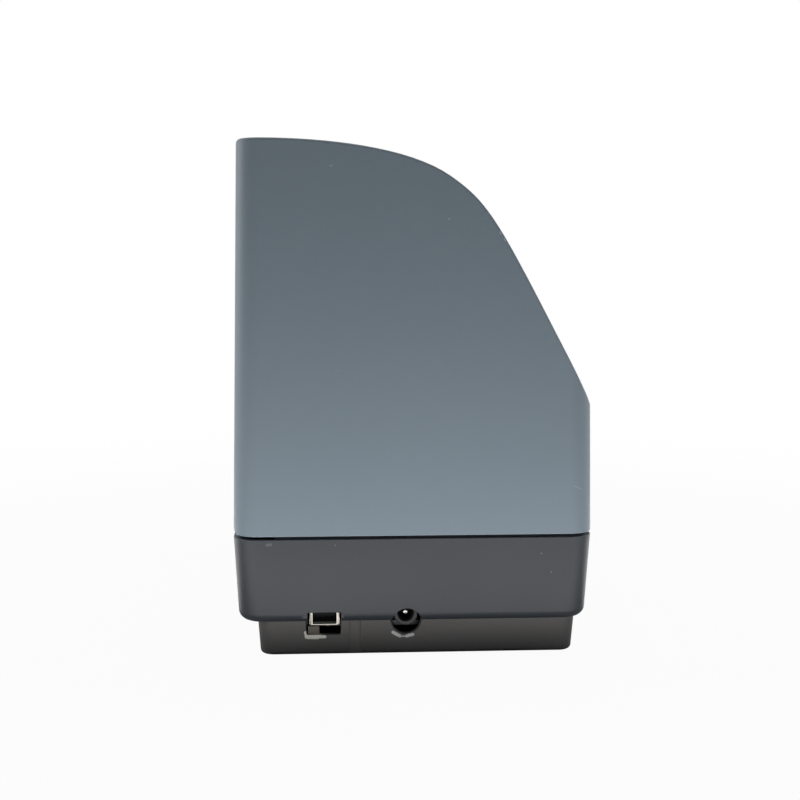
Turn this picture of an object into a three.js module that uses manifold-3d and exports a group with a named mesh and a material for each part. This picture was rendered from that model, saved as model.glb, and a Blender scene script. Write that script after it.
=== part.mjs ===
// Desktop cheque scanner: a hinged hood over an upright U-shaped paper path, on a tub and a plinth.
// Millimetres, +Z up. X runs from the tall side (-) to the low side (+), the ports face -Y and the
// cheque slots face +Y. The origin is on the table under the middle of the machine.
import * as THREE from 'three';
import { mergeVertices } from 'three/addons/utils/BufferGeometryUtils.js';
import Module from 'manifold-3d';

const wasm = await Module();
wasm.setup();

// Driving sizes of the whole machine
const width = 129.5;
const length = 222;
const height = 186;
const rimHeight = 45.2;
const seamGap = 1.1;
const ledgeHeight = 14.4;
const plinthBottom = 0.8;
const clearance = 0.3;
const overrun = 6;
const draftShare = 0.0155;

const hoodSize = {
  wall: 2.5,
  cornerRadius: 9,
  topRadius: 3,
  topSpare: 0.25,
  ribDepth: 3,
  ribWidth: 1.6,
  ribPitch: 44,
  slotHalfWidth: 4.2,
  slotTop: 132,
  gripRadius: 11,
  gripDepth: 3.2,
};

// Crown outline of the hood: x as shares of the half width, z as shares of the rise above the seam
const crownShares = {
  start: [-0.9, 1],
  shoulderPulls: [[-0.533, 1], [-0.1, 0.984]],
  shoulder: [0.147, 0.92],
  brinkPulls: [[0.398, 0.857], [0.543, 0.717]],
  brink: [0.694, 0.5785],
  bend: [0.992, 0.313],
};

const tubSize = {
  wall: 2.5,
  floor: 2.5,
  taperShare: 0.055,
  edgeRadius: 3.5,
  lipThickness: 1.2,
  lipHeight: 2.4,
  lipGap: 0.45,
  lipStart: 50,
  bossRadius: 4,
  bossTop: 24,
};

const plinthSize = {
  leftInset: 8.3,
  rightInset: 4.85,
  endInset: 7.5,
  wall: 2.2,
  floor: 2.5,
  cornerRadius: 5,
  edgeRadius: 1.4,
  taperShare: 0.07,
  grooveLead: 11,
  grooveWidth: 3.6,
  grooveDepth: 0.5,
};

const hingeSize = {
  inset: 3.95,
  endInset: 18,
  rise: 3.2,
  rodRadius: 1,
  boreRadius: 1.3,
  earRadius: 2.2,
  earRoot: 12,
  earLength: 16,
  earInset: 19,
  knuckleLength: 16,
  sweepRadius: 4,
  sideClearance: 0.4,
};

const laneSize = {
  entryX: 34,
  exitX: -26,
  turnInset: 59,
  halfGap: 1.4,
  wall: 2.2,
  top: 112,
  endInset: 4.5,
  flare: 2.6,
  flareLength: 14,
};

const bedSize = {
  left: -46,
  right: 47,
  frontInset: 25,
  backInset: 7.5,
  thickness: 4.8,
  cornerRadius: 6,
  bearingDepth: 3,
  ribHeight: 3.4,
};

const driveSize = {
  nearStation: -30,
  motorLead: 24,
  shaftRadius: 2.5,
  bearingRadius: 2.8,
  tyreRadius: 10,
  sleeveRadius: 5,
  tyreBore: 2.65,
  lowBand: 34,
  highBand: 70,
  bandHeight: 16,
  windowMargin: 1.2,
  shaftTop: 124.4,
  pulleyRadius: 7,
  pulleyHeight: 8,
  flangeRadius: 8.9,
  flangeHeight: 0.9,
};

const bridgeSize = {
  thickness: 3,
  frontInset: 34,
  backInset: 8,
  cornerRadius: 10,
  screwRadius: 2,
};

const beltSize = { thickness: 1.2, height: 5.4, lift: 1.6 };

const motorSize = {
  endInset: 25,
  radius: 14,
  height: 42,
  neckRadius: 5,
  boreRadius: 1.9,
  boreDepth: 12,
  shaftRadius: 1.5,
  lidRadius: 12.4,
  lidHeight: 2,
};

const pinchSize = {
  radius: 6,
  hubRadius: 2.4,
  bore: 1.7,
  pinRadius: 1.4,
  armReach: 17,
  postOut: 2.4,
  postRadius: 2.5,
  postTop: 93,
  tubeRadius: 4.4,
  tubeBore: 2.8,
  plateThickness: 2,
  plateHalfWidth: 2.4,
  webThickness: 2,
  webShare: 0.45,
  webRootShare: 0.85,
};

const imagerSize = {
  width: 14,
  depth: 10.4,
  bottom: 22.6,
  top: 100,
  glassThickness: 1.4,
  glassInset: 2,
  frontShare: 0.391,
  rearShare: 0.652,
};

const readHeadSize = {
  placeShare: 0.717,
  width: 14,
  depth: 9,
  height: 19,
  noseRadius: 5,
  springThickness: 0.6,
};

const cartridgeSize = {
  placeShare: 0.543,
  holderWidth: 32,
  holderWall: 1.8,
  holderOuter: -46,
  holderHeight: 46,
  bodyHeight: 52,
  lipHeight: 3,
  snoutHeight: 16,
  snoutBottom: 44,
};

const boardSize = {
  leftInset: 12.75,
  rightInset: 14.75,
  frontInset: 13.4,
  backInset: 41,
  thickness: 1.6,
  top: 11.8,
  standRadius: 3.2,
  standInset: 8,
  standLead: 18,
};

const usbSize = {
  boardInset: 19.7,
  width: 11.2,
  height: 10.9,
  depth: 16,
  faceInset: 7.2,
  wall: 0.5,
  mouthDepth: 9,
  tongueWidth: 5.6,
  tongueHeight: 3.2,
  cutLeft: 6.6,
  cutRight: 6,
  cutBottom: 7.6,
  notchLeft: 7.9,
  notchRight: 7,
  notchTop: 18.5,
  notchRadius: 1.4,
};

const jackSize = {
  boardInset: 49.4,
  z: 15.5,
  barrelRadius: 4.1,
  boreRadius: 2.85,
  pinRadius: 0.9,
  pinBack: 2,
  depth: 14,
  faceInset: 9.4,
  bodyHalfWidth: 4.5,
  bodyTop: 21.4,
  collarLength: 3.4,
  holeRadius: 5.5,
  holeZ: 13.9,
};

const driverBoardSize = { x: -44, frontInset: 33, back: -12, bottom: 22.6, top: 98, thickness: 1.6 };
const capacitorSize = {
  radius: 5,
  height: 11,
  lidShare: 0.86,
  rimShare: 0.12,
  rollerGap: 4,
  pitch: 14.5,
  standOff: 0.6,
};
const footSize = { radius: 8, soleShare: 0.94, thickness: 1.7, pocketDepth: 1.2, insetX: 20, insetY: 21 };
const screwSize = {
  headRadius: 3.1,
  headHeight: 2,
  crownShare: 0.8,
  rimShare: 0.6,
  shankRadius: 1.5,
  shankTop: 20,
  sideInset: 13.25,
  endInset: 21,
};
const lampSize = { placeShare: 0.535, z: 31, radius: 2.4, flangeRadius: 3.6, flangeThickness: 1.2 };

// Facet counts
const cornerSteps = 4;
const crownSteps = 9;
const arcSteps = 3;
const smallSides = 12;
const mediumSides = 16;
const roundSides = 20;
const largeSides = 24;
const turnSteps = 12;

const colours = {
  hood: 0x7b8790,
  tub: 0x4e5055,
  plinth: 0x454443,
  rubber: 0x1d1d1f,
  steel: 0xb9bcc0,
  guide: 0x2c2d30,
  bed: 0x38393c,
  board: 0x1f5a3a,
  contact: 0xd9dbde,
  black: 0x141416,
  white: 0xe6e4dc,
  glass: 0x20262b,
  brass: 0xb59a5b,
  lamp: 0x9fd8a8,
  ink: 0x23405f,
};

// Places that follow from the driving sizes
const halfWidth = width / 2;
const halfLength = length / 2;
const hoodBottom = rimHeight + seamGap;
const hoodRise = height - hoodBottom;
const hingeSpan = length - hingeSize.endInset * 2;
const earPlaces = [-1, 0, 1].map((side) => side * (hingeSpan / 2 - hingeSize.earInset));
const pivotX = -halfWidth + hingeSize.inset;
const pivotZ = hoodBottom + hingeSize.rise;
const plinthLeft = -halfWidth + plinthSize.leftInset;
const plinthRight = halfWidth - plinthSize.rightInset;
const plinthEnd = halfLength - plinthSize.endInset;
const tubFloorTop = ledgeHeight + tubSize.floor;
const bedBottom = tubFloorTop + clearance;
const bedTop = bedBottom + bedSize.thickness;
const guideBottom = bedTop + clearance;
const bridgeBottom = laneSize.top + clearance;
const bridgeTop = bridgeBottom + bridgeSize.thickness;
const turnX = (laneSize.entryX + laneSize.exitX) / 2;
const turnY = -halfLength + laneSize.turnInset;
const laneEnd = halfLength - laneSize.endInset;
const turnRadius = (laneSize.entryX - laneSize.exitX) / 2;
const entryAxisX = laneSize.entryX - driveSize.tyreRadius;
const exitAxisX = laneSize.exitX + driveSize.tyreRadius;
const motorY = halfLength - motorSize.endInset;
const nearStation = driveSize.nearStation;
const farStation = motorY - driveSize.motorLead;
const stations = [
  { axisX: entryAxisX, y: farStation, laneX: laneSize.entryX, side: 1 },
  { axisX: entryAxisX, y: nearStation, laneX: laneSize.entryX, side: 1 },
  { axisX: exitAxisX, y: nearStation, laneX: laneSize.exitX, side: -1 },
  { axisX: exitAxisX, y: farStation, laneX: laneSize.exitX, side: -1 },
];
const usbFace = -halfLength + usbSize.faceInset;
const jackFace = -halfLength + jackSize.faceInset;
const boardLeft = -halfWidth + boardSize.leftInset;
const boardRight = halfWidth - boardSize.rightInset;
const boardFront = -halfLength + boardSize.frontInset;
const boardBack = halfLength - boardSize.backInset;
const usbX = boardLeft + usbSize.boardInset;
const jackX = boardLeft + jackSize.boardInset;
const grooveX = usbX + plinthSize.grooveLead;
const laneOutside = laneSize.entryX + laneSize.halfGap + laneSize.wall + laneSize.flare;
const lampX = laneOutside + lampSize.placeShare * (halfWidth - tubSize.wall - laneOutside);

// A place along the machine as a share of the way from the near rollers to the far ones
function betweenStations(share) {
  return nearStation + share * (farStation - nearStation);
}

// Turns a closed three.js geometry into a solid that can be joined and cut
function solid(geometry) {
  const bare = geometry.index ? geometry.toNonIndexed() : geometry;
  bare.deleteAttribute('normal');
  bare.deleteAttribute('uv');
  const closed = mergeVertices(bare);
  return new wasm.Manifold(new wasm.Mesh({
    numProp: 3,
    vertProperties: new Float32Array(closed.attributes.position.array),
    triVerts: new Uint32Array(closed.index.array),
  }));
}

function geometryOf(manifold) {
  const mesh = manifold.getMesh();
  const geometry = new THREE.BufferGeometry();
  geometry.setAttribute('position', new THREE.BufferAttribute(mesh.vertProperties, 3));
  geometry.setIndex(new THREE.BufferAttribute(mesh.triVerts, 1));
  geometry.computeVertexNormals();
  return geometry;
}

function block(x0, x1, y0, y1, z0, z1) {
  const geometry = new THREE.BoxGeometry(x1 - x0, y1 - y0, z1 - z0);
  return solid(geometry.translate((x0 + x1) / 2, (y0 + y1) / 2, (z0 + z1) / 2));
}

function rod(radius, x, y, z0, z1, sides = roundSides) {
  const geometry = new THREE.CylinderGeometry(radius, radius, z1 - z0, sides);
  return solid(geometry.rotateX(Math.PI / 2).translate(x, y, (z0 + z1) / 2));
}

function rodAlongY(radius, x, z, y0, y1, sides = roundSides) {
  const geometry = new THREE.CylinderGeometry(radius, radius, y1 - y0, sides);
  return solid(geometry.translate(x, (y0 + y1) / 2, z));
}

// A shape drawn in plan, raised from z0 to z1
function prism(shape, z0, z1, curveSegments = arcSteps) {
  const geometry = new THREE.ExtrudeGeometry(shape, { depth: z1 - z0, bevelEnabled: false, curveSegments });
  return solid(geometry.translate(0, 0, z0));
}

// A shape drawn in the end view, x across and z up, run from y0 to y1
function prismAlongY(shape, y0, y1, curveSegments = arcSteps) {
  const geometry = new THREE.ExtrudeGeometry(shape, { depth: y1 - y0, bevelEnabled: false, curveSegments });
  return solid(geometry.rotateX(Math.PI / 2).translate(0, y1, 0));
}

function turned(points, sides = roundSides) {
  const profile = points.map(([radius, z]) => new THREE.Vector2(radius, z));
  return solid(new THREE.LatheGeometry(profile, sides).rotateX(Math.PI / 2));
}

function tube(outer, inner, z0, z1, sides = roundSides) {
  return turned([[inner, z0], [outer, z0], [outer, z1], [inner, z1], [inner, z0]], sides);
}

function union(parts) {
  return parts.reduce((whole, part) => whole.add(part));
}

function cutAll(whole, parts) {
  return parts.reduce((rest, part) => rest.subtract(part), whole);
}

function roundedPlan(x0, x1, y0, y1, radius) {
  const shape = new THREE.Shape();
  shape.moveTo(x0 + radius, y0);
  shape.lineTo(x1 - radius, y0);
  shape.absarc(x1 - radius, y0 + radius, radius, -Math.PI / 2, 0);
  shape.lineTo(x1, y1 - radius);
  shape.absarc(x1 - radius, y1 - radius, radius, 0, Math.PI / 2);
  shape.lineTo(x0 + radius, y1);
  shape.absarc(x0 + radius, y1 - radius, radius, Math.PI / 2, Math.PI);
  shape.lineTo(x0, y0 + radius);
  shape.absarc(x0 + radius, y0 + radius, radius, Math.PI, Math.PI * 1.5);
  return shape;
}

// Rounded rectangles at rising heights, skinned into one closed body
function loft(levels) {
  const rings = levels.map(({ x0, x1, y, radius, z }) => {
    const ring = [];
    const centres = [[x1 - radius, -y + radius], [x1 - radius, y - radius], [x0 + radius, y - radius],
      [x0 + radius, -y + radius]];
    centres.forEach(([cx, cy], corner) => {
      for (let step = 0; step <= cornerSteps; step += 1) {
        const angle = (corner - 1 + step / cornerSteps) * Math.PI / 2;
        ring.push(new THREE.Vector3(cx + radius * Math.cos(angle), cy + radius * Math.sin(angle), z));
      }
    });
    return ring;
  });
  const count = rings[0].length;
  const positions = rings.flat().flatMap((point) => point.toArray());
  const index = [];
  for (let level = 0; level + 1 < rings.length; level += 1) {
    for (let i = 0; i < count; i += 1) {
      const next = (i + 1) % count;
      const low = level * count;
      const high = low + count;
      index.push(low + i, low + next, high + next, low + i, high + next, high + i);
    }
  }
  const last = (rings.length - 1) * count;
  for (let i = 1; i + 1 < count; i += 1) {
    index.push(0, i + 1, i, last, last + i, last + i + 1);
  }
  const geometry = new THREE.BufferGeometry();
  geometry.setAttribute('position', new THREE.Float32BufferAttribute(positions, 3));
  geometry.setIndex(index);
  return solid(geometry);
}

// Moves every edge of a closed outline inwards by the same distance
function insetOutline(points, distance) {
  const count = points.length;
  const edges = points.map((point, i) => {
    const along = points[(i + 1) % count].clone().sub(point).normalize();
    const inward = new THREE.Vector2(-along.y, along.x);
    return { start: point.clone().addScaledVector(inward, distance), along };
  });
  return edges.map((edge, i) => {
    const before = edges[(i + count - 1) % count];
    const cross = before.along.cross(edge.along);
    const reach = edge.start.clone().sub(before.start).cross(edge.along) / cross;
    return before.start.clone().addScaledVector(before.along, reach);
  });
}

// End view of everything under the crown, wider than the hood on both sides and below it
function crownOutline(inset) {
  const at = ([xShare, zShare]) => [xShare * halfWidth, hoodBottom + zShare * hoodRise];
  const [bendX, bendZ] = at(crownShares.bend);
  const [brinkX, brinkZ] = at(crownShares.brink);
  const slope = (bendZ - brinkZ) / (bendX - brinkX);
  const outside = halfWidth + overrun;
  const curve = new THREE.Path();
  curve.moveTo(...at(crownShares.start));
  curve.bezierCurveTo(...crownShares.shoulderPulls.flatMap(at), ...at(crownShares.shoulder));
  curve.bezierCurveTo(...crownShares.brinkPulls.flatMap(at), brinkX, brinkZ);
  const crown = curve.getPoints(crownSteps).reverse();
  const points = [
    new THREE.Vector2(-outside, hoodBottom - overrun),
    new THREE.Vector2(outside, hoodBottom - overrun),
    new THREE.Vector2(outside, bendZ + slope * (outside - bendX)),
    ...crown,
    new THREE.Vector2(-outside, crown[crown.length - 1].y),
  ];
  return inset > 0 ? insetOutline(points, inset) : points;
}

// The hood's walls up to its top, leaning in by the draft, with the top edge of the tall side rounded
function hoodBody(inset, top, edgeRadius, lift) {
  const levels = [];
  const level = (z, sideInset) => {
    const lean = inset + draftShare * (z - hoodBottom);
    levels.push({
      x0: -halfWidth + lean + sideInset,
      x1: halfWidth - lean,
      y: halfLength - lean,
      radius: hoodSize.cornerRadius - inset,
      z,
    });
  };
  level(hoodBottom - lift, 0);
  level(top - edgeRadius, 0);
  for (let step = 1; step <= cornerSteps && edgeRadius > 0; step += 1) {
    const angle = (step / cornerSteps) * Math.PI / 2;
    level(top - edgeRadius + edgeRadius * Math.sin(angle), edgeRadius * (1 - Math.cos(angle)));
  }
  return loft(levels).intersect(prismAlongY(new THREE.Shape(crownOutline(inset)), -length, length));
}

function slotShape(centre, top) {
  const half = hoodSize.slotHalfWidth;
  const shape = new THREE.Shape();
  shape.moveTo(centre - half, bedTop);
  shape.lineTo(centre + half, bedTop);
  shape.lineTo(centre + half, top - half);
  shape.absarc(centre, top - half, half, 0, Math.PI);
  return shape;
}

function slotCuts() {
  return [laneSize.entryX, laneSize.exitX].map((centre) => prismAlongY(
    slotShape(centre, hoodSize.slotTop),
    halfLength - hoodSize.cornerRadius,
    halfLength + overrun,
  ));
}

// Cross ribs under the crown, and the knuckles that the hinge rod passes through
function hoodRibs() {
  const band = hoodBody(hoodSize.wall / 2, height, 0, 0)
    .subtract(hoodBody(hoodSize.wall + hoodSize.ribDepth, height, 0, overrun));
  const count = Math.floor((length - hoodSize.ribPitch) / hoodSize.ribPitch);
  const slabs = [];
  for (let i = 0; i <= count; i += 1) {
    const y = (i - count / 2) * hoodSize.ribPitch;
    const low = pivotZ + hingeSize.sweepRadius * 2;
    slabs.push(block(-width, width, y - hoodSize.ribWidth / 2, y + hoodSize.ribWidth / 2, low, height));
  }
  return band.intersect(union(slabs));
}

function hoodKnuckles() {
  const gapHalf = hingeSize.earLength / 2 + hingeSize.sideClearance;
  return earPlaces.flatMap((place) => [-1, 1].map((side) => {
    const near = place + side * gapHalf;
    const far = near + side * hingeSize.knuckleLength;
    const radius = hingeSize.rise - seamGap / 2;
    return rodAlongY(radius, pivotX, pivotZ, Math.min(near, far), Math.max(near, far));
  }));
}

function hingeReliefs() {
  const halfEar = hingeSize.earLength / 2 + hingeSize.sideClearance;
  const reach = hingeSize.earRadius + hingeSize.sideClearance;
  return earPlaces.map((place) => block(
    -halfWidth - overrun, pivotX + reach + overrun, place - halfEar, place + halfEar,
    hoodBottom - overrun, pivotZ + reach,
  ));
}

// The lower edge of the tall side is rolled round the hinge line, so that it turns clear of the rim
function rolledEdgeCut() {
  const radius = hingeSize.sweepRadius;
  const outside = pivotX - radius - overrun;
  const shape = new THREE.Shape();
  shape.moveTo(pivotX, pivotZ - radius);
  shape.absarc(pivotX, pivotZ, radius, -Math.PI / 2, -Math.PI, true);
  shape.lineTo(outside, pivotZ);
  shape.lineTo(outside, pivotZ - radius - overrun);
  shape.lineTo(pivotX, pivotZ - radius - overrun);
  return prismAlongY(shape, -length, length);
}

// A shallow finger scallop under the low side, where the hood is lifted
function gripCut() {
  const centreZ = hoodBottom + hoodSize.gripDepth - hoodSize.gripRadius;
  const geometry = new THREE.CylinderGeometry(hoodSize.gripRadius, hoodSize.gripRadius, width / 2, largeSides);
  geometry.rotateZ(Math.PI / 2).translate(halfWidth, 0, centreZ);
  return solid(geometry);
}

function hoodSolid() {
  const shell = hoodBody(0, height + hoodSize.topSpare, hoodSize.topRadius, 0)
    .subtract(hoodBody(hoodSize.wall, height, 0, overrun));
  const bored = cutAll(union([shell, hoodRibs(), ...hoodKnuckles()]), [
    rodAlongY(hingeSize.boreRadius, pivotX, pivotZ, -hingeSpan / 2 - clearance, hingeSpan / 2 + clearance),
    rolledEdgeCut(),
    gripCut(),
    ...hingeReliefs(),
    ...slotCuts(),
  ]);
  return bored;
}

function tubLevel(z, extra, inset) {
  const lean = tubSize.taperShare * (rimHeight - z) + extra + inset;
  return {
    x0: -halfWidth + lean,
    x1: halfWidth - lean,
    y: halfLength - lean,
    radius: hoodSize.cornerRadius - inset,
    z,
  };
}

function tubOuter() {
  const edge = tubSize.edgeRadius;
  const levels = [];
  for (let step = 0; step < cornerSteps; step += 1) {
    const angle = (step / cornerSteps) * Math.PI / 2;
    levels.push(tubLevel(ledgeHeight + edge * (1 - Math.cos(angle)), edge * (1 - Math.sin(angle)), 0));
  }
  levels.push(tubLevel(ledgeHeight + edge, 0, 0), tubLevel(rimHeight, 0, 0));
  return loft(levels);
}

function tubInner() {
  const edge = tubSize.edgeRadius;
  return loft([
    tubLevel(tubFloorTop, edge - tubSize.wall, tubSize.wall),
    tubLevel(ledgeHeight + edge + tubSize.wall, 0, tubSize.wall),
    tubLevel(rimHeight + overrun, 0, tubSize.wall),
  ]);
}

// An upstand inside the hood's edge on three sides, which darkens the seam
function tubLip() {
  const ring = (inset, z0, z1) => loft([z0, z1].map((z) => ({
    x0: -halfWidth + inset,
    x1: halfWidth - inset,
    y: halfLength - inset,
    radius: hoodSize.cornerRadius - inset,
    z,
  })));
  const top = hoodBottom + tubSize.lipHeight;
  const low = rimHeight - tubSize.lipHeight;
  const outer = hoodSize.wall + tubSize.lipGap;
  const inner = outer + tubSize.lipThickness;
  const root = ring(hoodSize.wall / 2, low, rimHeight - clearance);
  const wall = ring(outer, low, top).add(root).subtract(ring(inner, low - overrun, top + overrun));
  return wall.subtract(block(-width, -tubSize.lipStart, -length, length, low - overrun, top + overrun));
}

function hingeEars() {
  const root = rimHeight - hingeSize.earRoot;
  return earPlaces.map((place) => {
    const y0 = place - hingeSize.earLength / 2;
    const y1 = place + hingeSize.earLength / 2;
    const leg = block(
      pivotX - hingeSize.earRadius, pivotX + hingeSize.earRadius, y0, y1, root, pivotZ,
    );
    return leg.add(rodAlongY(hingeSize.earRadius, pivotX, pivotZ, y0, y1));
  });
}

function screwPlaces() {
  const x = halfWidth - screwSize.sideInset;
  const y = halfLength - screwSize.endInset;
  return [-1, 1].flatMap((sideX) => [-1, 1].map((sideY) => [sideX * x, sideY * y]));
}

function usbNotch() {
  const { notchLeft, notchRight, notchTop, notchRadius } = usbSize;
  const low = ledgeHeight - overrun;
  return prismAlongY(
    roundedPlan(usbX - notchLeft, usbX + notchRight, low, notchTop, notchRadius),
    -halfLength - overrun,
    usbFace + usbSize.depth,
  );
}

function jackHole(back) {
  return rodAlongY(jackSize.holeRadius, jackX, jackSize.holeZ, -halfLength - overrun, back);
}

// Room in the tub's floor for the two sockets that stand up from the board
function socketWindow() {
  const left = usbX - usbSize.notchLeft;
  const right = jackX + jackSize.bodyHalfWidth + clearance * 2;
  const front = jackFace - clearance;
  return block(left, right, front, usbFace + usbSize.depth + clearance * 2, 0, bedTop);
}

function tubSolid() {
  const bosses = screwPlaces().map(([x, y]) => rod(tubSize.bossRadius, x, y, tubFloorTop - clearance,
    tubSize.bossTop, smallSides));
  const inside = tubOuter().subtract(tubInner());
  const grown = union([inside, tubLip(), ...hingeEars(), ...bosses]);
  return cutAll(grown, [
    rodAlongY(hingeSize.boreRadius, pivotX, pivotZ, -hingeSpan / 2 - clearance, hingeSpan / 2 + clearance),
    usbNotch(),
    jackHole(jackFace + clearance),
    socketWindow(),
    ...slotCuts(),
    ...screwPlaces().map(([x, y]) => rod(screwSize.shankRadius + clearance, x, y, 0,
      screwSize.shankTop + clearance, smallSides)),
    rodAlongY(lampSize.radius + clearance, lampX, lampSize.z, halfLength - overrun * 2, halfLength + overrun,
      smallSides),
  ]);
}

function plinthLevel(z, extra, inset) {
  const lean = plinthSize.taperShare * (ledgeHeight - z) + extra + inset;
  return {
    x0: plinthLeft + lean,
    x1: plinthRight - lean,
    y: plinthEnd - lean,
    radius: plinthSize.cornerRadius - inset,
    z,
  };
}

function footPlaces() {
  const { insetX, insetY } = footSize;
  return [plinthLeft + insetX, plinthRight - insetX].flatMap((x) => [-1, 1].map(
    (side) => [x, side * (plinthEnd - insetY)],
  ));
}

function boardStands() {
  const inset = boardSize.standInset;
  const xs = [boardLeft + inset, boardRight - inset];
  const ys = [boardFront + boardSize.standLead, boardBack - inset];
  const top = boardSize.top - boardSize.thickness - clearance;
  return xs.flatMap((x) => ys.map((y) => rod(boardSize.standRadius, x, y, plinthBottom + clearance, top,
    smallSides)));
}

function plinthSolid() {
  const top = ledgeHeight - clearance;
  const edge = plinthSize.edgeRadius;
  const outer = loft([
    plinthLevel(plinthBottom, edge, 0),
    plinthLevel(plinthBottom + edge * (1 - Math.SQRT1_2), edge * (1 - Math.SQRT1_2), 0),
    plinthLevel(plinthBottom + edge, 0, 0),
    plinthLevel(top, 0, 0),
  ]);
  const floorTop = plinthBottom + plinthSize.floor;
  const inner = loft([
    plinthLevel(floorTop, 0, plinthSize.wall),
    plinthLevel(top + overrun, 0, plinthSize.wall),
  ]);
  const posts = screwPlaces().map(([x, y]) => rod(tubSize.bossRadius, x, y, plinthBottom + clearance, top,
    smallSides));
  const { grooveWidth, grooveDepth } = plinthSize;
  const grown = union([outer.subtract(inner), ...posts, ...boardStands()]);
  return cutAll(grown, [
    ...footPlaces().map(([x, y]) => rod(footSize.radius + clearance, x, y, 0,
      plinthBottom + footSize.pocketDepth)),
    ...screwPlaces().flatMap(([x, y]) => [
      rod(screwSize.shankRadius + clearance, x, y, 0, ledgeHeight + overrun, smallSides),
      rod(screwSize.headRadius + clearance, x, y, 0, floorTop + clearance, smallSides),
    ]),
    block(grooveX - grooveWidth / 2, grooveX + grooveWidth / 2, -plinthEnd - overrun,
      -plinthEnd + grooveDepth + plinthSize.taperShare * ledgeHeight / 2, 0, ledgeHeight + overrun),
    block(usbX - usbSize.cutLeft, usbX + usbSize.cutRight, -halfLength, usbFace + overrun,
      usbSize.cutBottom, ledgeHeight + overrun),
    jackHole(-plinthEnd + plinthSize.wall * 2),
  ]);
}

// The U-shaped outline between two offsets from the cheque's own line, flared at the two mouths
function guideShape(nearOffset, farOffset) {
  const { entryX, exitX, flare, flareLength } = laneSize;
  const line = (path, offset, reverse) => {
    const out = Math.sign(offset) * flare;
    const entry = entryX + offset;
    const exit = exitX - offset;
    const first = reverse ? exit : entry;
    const last = reverse ? entry : exit;
    const sign = reverse ? -1 : 1;
    path.lineTo(first + sign * out, laneEnd);
    path.lineTo(first, laneEnd - flareLength);
    path.lineTo(first, turnY);
    path.absarc(turnX, turnY, turnRadius + offset, reverse ? Math.PI : 0, reverse ? 0 : -Math.PI, !reverse);
    path.lineTo(last, laneEnd - flareLength);
    path.lineTo(last - sign * out, laneEnd);
  };
  const shape = new THREE.Shape();
  const startOut = Math.sign(nearOffset) * flare;
  shape.moveTo(entryX + nearOffset + startOut, laneEnd);
  line(shape, nearOffset, false);
  line(shape, farOffset, true);
  return shape;
}

function stationWindows(reach) {
  const half = Math.sqrt(driveSize.tyreRadius ** 2 - (driveSize.tyreRadius - laneSize.halfGap
    - laneSize.wall) ** 2) + driveSize.windowMargin;
  return stations.flatMap(({ laneX, y }) => [driveSize.lowBand, driveSize.highBand].map((z) => block(
    laneX - reach, laneX + reach, y - half, y + half,
    z - driveSize.windowMargin, z + driveSize.bandHeight + driveSize.windowMargin,
  )));
}

function imagerPlace(side) {
  const face = laneSize.entryX + side * (laneSize.halfGap + clearance);
  const back = face + side * imagerSize.depth;
  const y = betweenStations(side > 0 ? imagerSize.frontShare : imagerSize.rearShare);
  return { face, back, y0: y - imagerSize.width / 2, y1: y + imagerSize.width / 2, side };
}

function imagerWindow(place) {
  const reach = laneSize.wall + overrun;
  const near = place.face - place.side * clearance * 2;
  const far = near + place.side * reach;
  return block(Math.min(near, far), Math.max(near, far), place.y0 - clearance, place.y1 + clearance,
    bedTop, imagerSize.top + clearance);
}

function guideSolid(side) {
  const near = laneSize.halfGap;
  const far = near + laneSize.wall;
  const shape = side > 0 ? guideShape(near, far) : guideShape(-far, -near);
  const wall = prism(shape, guideBottom, laneSize.top, turnSteps);
  const reach = laneSize.halfGap + laneSize.wall + clearance;
  const windows = [...stationWindows(reach), imagerWindow(imagerPlace(side))];
  if (side > 0) {
    windows.push(readHeadCut(), snoutCut());
  }
  return cutAll(wall, windows);
}

function readHeadFace() {
  return laneSize.entryX + laneSize.halfGap + clearance;
}

function readHeadCut() {
  const { placeShare, width: across, height: tall } = readHeadSize;
  const y = betweenStations(placeShare);
  const face = readHeadFace() - clearance * 2;
  return block(face, face + laneSize.wall + overrun, y - across / 2 - clearance, y + across / 2 + clearance,
    bedTop, guideBottom + tall + clearance);
}

function readHeadSolid() {
  const { placeShare, width: across, depth, height: tall, noseRadius } = readHeadSize;
  const y = betweenStations(placeShare);
  const face = readHeadFace();
  const plan = new THREE.Shape();
  plan.moveTo(face + depth, y - across / 2);
  plan.lineTo(face + depth, y + across / 2);
  plan.lineTo(face + noseRadius / 2, y + across / 2);
  plan.quadraticCurveTo(face - noseRadius / 2, y, face + noseRadius / 2, y - across / 2);
  return prism(plan, guideBottom, guideBottom + tall - clearance, cornerSteps * 2);
}

function readHeadSpringSolid() {
  const { placeShare, width: across, depth, height: tall, springThickness } = readHeadSize;
  const y = betweenStations(placeShare);
  const back = readHeadFace() + depth + clearance;
  const blade = block(back, back + springThickness, y - across, y + across, guideBottom, guideBottom + tall);
  return blade.add(block(back - across / 6, back + springThickness, y + across - springThickness, y + across,
    guideBottom, guideBottom + tall));
}

function snoutCut() {
  const { placeShare, holderWidth, snoutBottom, snoutHeight } = cartridgeSize;
  const y = betweenStations(placeShare);
  const near = laneSize.exitX - laneSize.halfGap + clearance;
  return block(near - laneSize.wall - overrun, near, y - holderWidth / 4 - clearance,
    y + holderWidth / 4 + clearance, snoutBottom - clearance, snoutBottom + snoutHeight + clearance);
}

function holderFace() {
  return laneSize.exitX - laneSize.halfGap - laneSize.wall - clearance;
}

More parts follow.
